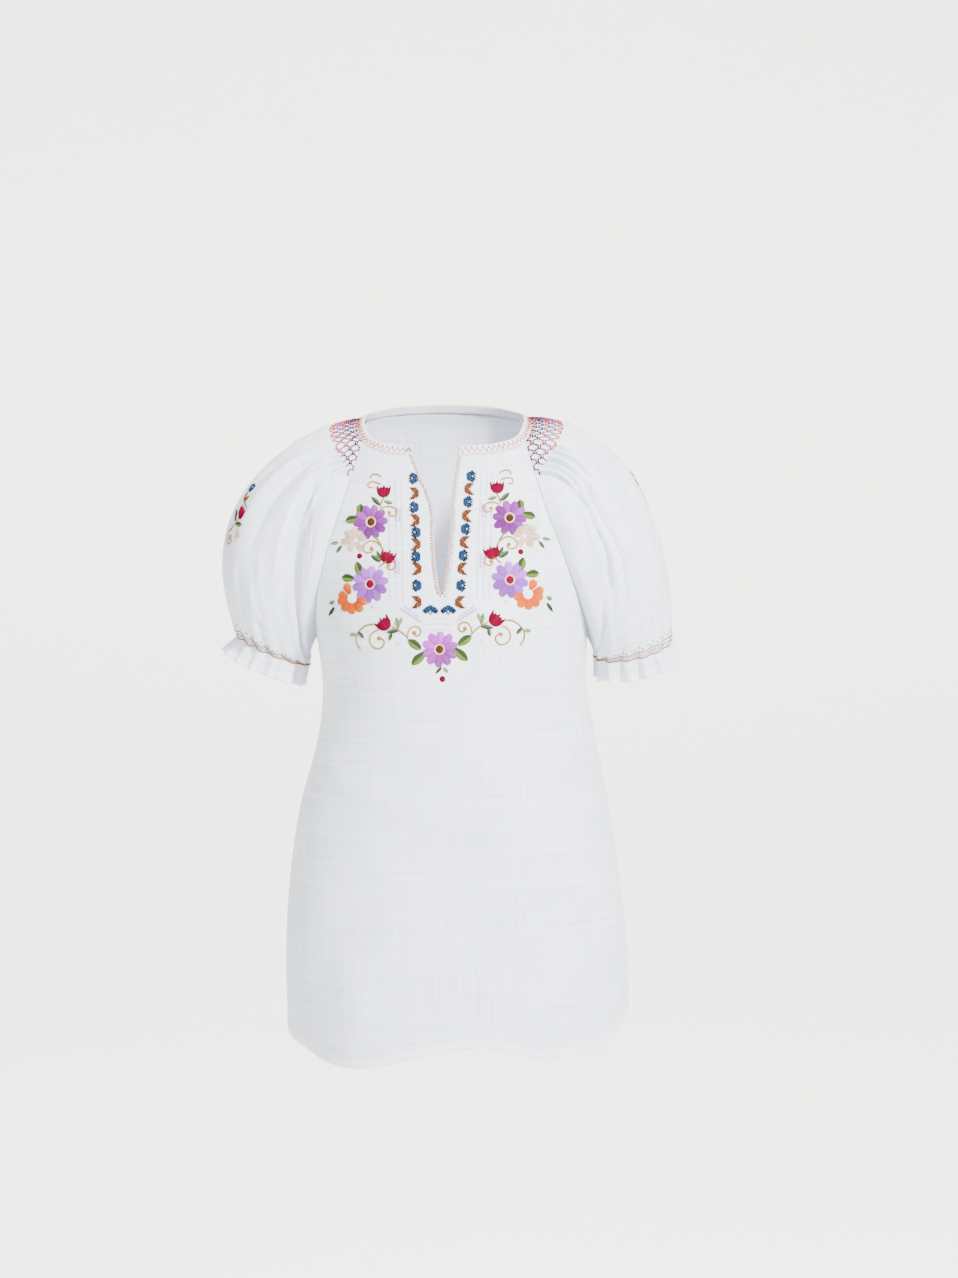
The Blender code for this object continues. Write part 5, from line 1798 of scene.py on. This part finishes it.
def cuff_work(name, seed):
    ground, length = cuff_ground(name)
    work = Needle(ground, seed)
    zigs = int(length / 4.2)
    for k in range(zigs):
        s, step = k * length / zigs, length / zigs
        work.stitch((s, 1.6), (s + step / 2, 4.6), PEACH, 0.30, 0.45)
        work.stitch((s + step / 2, 4.6), (s + step, 1.6), PEACH, 0.30, 0.45)
        work.stitch((s - 0.3, 0.4), (s + step * 0.55, 0.4), CUFF_TAN, 0.55, 0.4)
        work.stitch((s + step * 0.45, 0.4), (s + step + 0.3, 0.4), CUFF_TAN, 0.55, 0.5)
        work.stitch((s - 0.3, 5.8), (s + step * 0.6, 5.8), CUFF_TAN, 0.38, 0.4)
        work.stitch((s + step * 0.5, 5.8), (s + step + 0.2, 5.8), CUFF_OLIVE, 0.38, 0.5)
        high = 9.4 if k % 2 else 7.8
        work.stitch((s, high), (s + 1.3, high + 1.3), CUFF_OLIVE, 0.34, 0.3, 3)
        work.stitch((s, high + 1.3), (s + 1.3, high), CUFF_OLIVE, 0.34, 0.45, 3)
    return work.sew(name.replace("sleeve", "cuff_stitching"), 5)


cuff_stitching_right = cuff_work("sleeve_right", 13)
cuff_stitching_left = cuff_work("sleeve_left", 14)

# %% Flowers on the sleeves
# Each row: column round the sleeve, share of the way to the cuff, side, and lean forward in millimetres.
MOTIFS = {"sleeve_right": (24.2, 0.54, 1, 15.0), "sleeve_left": (31.5, 0.44, -1, 0.0)}


def motif_ground(name):
    """The ground round a sleeve's flower group: millimetres aside and up from its first flower."""
    column, share, side, lean = MOTIFS[name]
    grid, shares = sleeve_grids[name]["points"], sleeve_grids[name]["shares"]
    middle = int(round(column * FINE))
    steps = np.linalg.norm(np.diff(grid[:, middle], axis=0), axis=1)
    length = np.concatenate([[0], np.cumsum(steps)])
    rows = np.arange(len(length))
    start = np.interp(share, shares, length)

    def ground(x, z, lift):
        row = np.interp(start - z, length, rows)
        r = np.clip(np.round(row).astype(int), 0, len(rows) - 1)
        wide = np.linalg.norm(grid[r, middle + 6] - grid[r, middle - 6], axis=1) / 12
        aside = x + lean * ramp(-z, 10.5, 12.0)
        return sleeve_place(name, middle - side * aside / wide, row, lift)

    return ground


def sleeve_flowers(name, seed):
    work = Needle(motif_ground(name), seed)
    work.figure(FAN_CHART, CROSS_DYES, (-2.0, 2.0), 3)
    work.figure(CHEVRON_CHART, CROSS_DYES, (3.0, -7.5), 3)
    work.tulip((-2.0, -19.0), 92, 12.5, CRIMSON)
    work.stem(((-2.0, -25.6), (-4.0, -31.0), (-8.0, -37.0), (-9.0, -42.0)), OLIVE_GOLD, GOLD)
    work.leaf((-16.0, -22.0), (-6.0, -31.0), 5.0, LEAF_LIGHT, LEAF_DARK)
    work.leaf((8.0, -27.0), (-3.0, -32.0), 4.6, LEAF_DARK, LEAF_LIGHT)
    work.stem(((-7.6, -37.6), (-12.6, -42.4), (-14.4, -48.4), (-10.6, -53.2), (-5.0, -52.4), (-3.0, -47.6),
               (-6.0, -44.4), (-9.0, -46.6)), PEACH_GOLD, GOLD)
    work.disc((-8.0, -48.2), 1.8, GOLD_CORE, 0.6)
    for degrees, outer in ((20, 9.0), (80, 9.0), (-45, 8.0)):
        work.petal((2.0, -39.0), degrees, 1.5, outer, 2.6, PALE_ROSE, PALE_PEACH, 6)
    return work.sew(name.replace("sleeve", "sleeve_flowers"), 5)


sleeve_flowers_right = sleeve_flowers("sleeve_right", 15)
sleeve_flowers_left = sleeve_flowers("sleeve_left", 16)

# %% The tree that sets stitches along a path
path_tree, path_inputs = new_tree(
    "stitches_along_path",
    {
        "Spacing": ("NodeSocketFloat", 0.003),
        "Stitch Length": ("NodeSocketFloat", 0.0021),
        "Thickness": ("NodeSocketFloat", 0.00022),
        "Sides": ("NodeSocketInt", 4),
        "Seed": ("NodeSocketInt", 1),
    },
)
given = add_node(path_tree, "NodeGroupInput")
line = add_node(path_tree, "GeometryNodeMeshToCurve", None, {0: given.outputs["Geometry"]})
spaced = add_node(path_tree, "GeometryNodeResampleCurve", {"mode": "LENGTH"},
                  {"Curve": line.outputs[0], "Length": given.outputs["Spacing"]})
ahead = add_node(path_tree, "GeometryNodeInputTangent")
away = add_node(path_tree, "GeometryNodeInputNamedAttribute", {"data_type": "FLOAT_VECTOR"}, {"Name": "away"})
turned = add_node(path_tree, "FunctionNodeAxesToRotation", {"primary_axis": "X", "secondary_axis": "Z"},
                  {"Primary Axis": ahead.outputs[0], "Secondary Axis": away.outputs[0]})
uneven = add_node(path_tree, "FunctionNodeRandomValue", {"data_type": "FLOAT"},
                  {2: 0.82, 3: 1.15, "Seed": given.outputs["Seed"]})
half = add_node(path_tree, "ShaderNodeMath", {"operation": "MULTIPLY"},
                {0: given.outputs["Stitch Length"], 1: 0.5})
back_half = add_node(path_tree, "ShaderNodeMath", {"operation": "MULTIPLY"},
                     {0: given.outputs["Stitch Length"], 1: -0.5})
start = add_node(path_tree, "ShaderNodeCombineXYZ", None, {0: back_half.outputs[0]})
end = add_node(path_tree, "ShaderNodeCombineXYZ", None, {0: half.outputs[0]})
bar = add_node(path_tree, "GeometryNodeCurvePrimitiveLine", None,
               {"Start": start.outputs[0], "End": end.outputs[0]})
round_bar = add_node(path_tree, "GeometryNodeCurvePrimitiveCircle", None,
                     {"Resolution": given.outputs["Sides"], "Radius": given.outputs["Thickness"]})
stitch_shape = add_node(path_tree, "GeometryNodeCurveToMesh", None,
                        {"Curve": bar.outputs[0], "Profile Curve": round_bar.outputs[0], "Fill Caps": True})
placed = add_node(path_tree, "GeometryNodeInstanceOnPoints", None,
                  {"Points": spaced.outputs[0], "Instance": stitch_shape.outputs[0],
                   "Rotation": turned.outputs[0], "Scale": uneven.outputs[1]})
finish_tree(path_tree, placed.outputs[0], stranded_cotton)
print("path tree:", len(path_tree.nodes), "nodes")

# %% Stitching of the hems


def hem_line(facing, up, lift):
    """A path round a panel's hem, at a distance above its edge, with the way out at each point."""
    angle = np.linspace(-88, 88, 500)
    height = smooth(HEM[facing], "height", angle, by="angle") + up
    here = body_point(angle, height, facing)
    aside = np.gradient(here, axis=0)
    out = unit(np.cross(aside, np.array([0.0, 0.0, 1.0])))
    out *= np.sign((out * np.array([0.0, facing, 0.0])).sum(axis=1, keepdims=True))
    return here + out * lift, out


def stitched_path(name, lines, tint, spacing, length, thickness, seed):
    """Stitches set along paths by the second tree."""
    points = np.concatenate([line for line, _ in lines])
    outs = np.concatenate([out for _, out in lines])
    counts = [len(line) for line, _ in lines]
    tints = np.tile(np.array(tint, float), (len(points), 1))
    made = lines_object(name, points, counts, np.full(len(points), 0.2), tints, outs)
    grow(made, path_tree, path_inputs,
         {"Spacing": spacing, "Stitch Length": length, "Thickness": thickness, "Seed": seed})
    print(name, "-", len(made.data.polygons), "faces")
    return made


HEM_THREAD = (236, 236, 240)
HEM_LINE_HEIGHT = 8.4
HEM_STITCH = {"spacing": 0.0030, "length": 0.0022, "thickness": 0.00022}
hem_stitching_front, hem_stitching_back = (
    stitched_path(name, [hem_line(facing, HEM_LINE_HEIGHT, 0.5)], HEM_THREAD, seed=seed, **HEM_STITCH)
    for name, facing, seed in (("hem_stitching_front", FRONT, 2), ("hem_stitching_back", BACK, 3))
)

# %% [markdown]
# ## Attaching the pieces
#
# Each piece is attached to the body it moves with, and the solid it stands for is hidden. A sleeve's
# pattern piece is much wider than the sleeve, because the smocking and the cuff gather it.

# %% Pieces, solids and materials
CLOTH_PIECES = (
    (front_cloth, "front", "white_cotton"),
    (back_cloth, "back", "white_cotton"),
    (sleeve_right_cloth, "sleeve_right", "white_cotton"),
    (sleeve_left_cloth, "sleeve_left", "white_cotton"),
    (neck_binding_cloth, "neck_binding", "binding_cotton"),
    (slit_edging_cloth, "slit_edging", "peach_thread"),
)
THREAD_PIECES = (
    front_flowers, front_scrolls, front_cross_stitch, hem_stitching_front, hem_stitching_back,
    smocking_right, cuff_stitching_right, sleeve_flowers_right,
    smocking_left, cuff_stitching_left, sleeve_flowers_left,
    neck_stitching, slit_stitching,
)
for piece, node, slot in CLOTH_PIECES:
    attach(piece, "root")
    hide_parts(node)
for piece in THREAD_PIECES:
    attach(piece, "root")

# %% The neck seam's length in metres
neck_length * MM
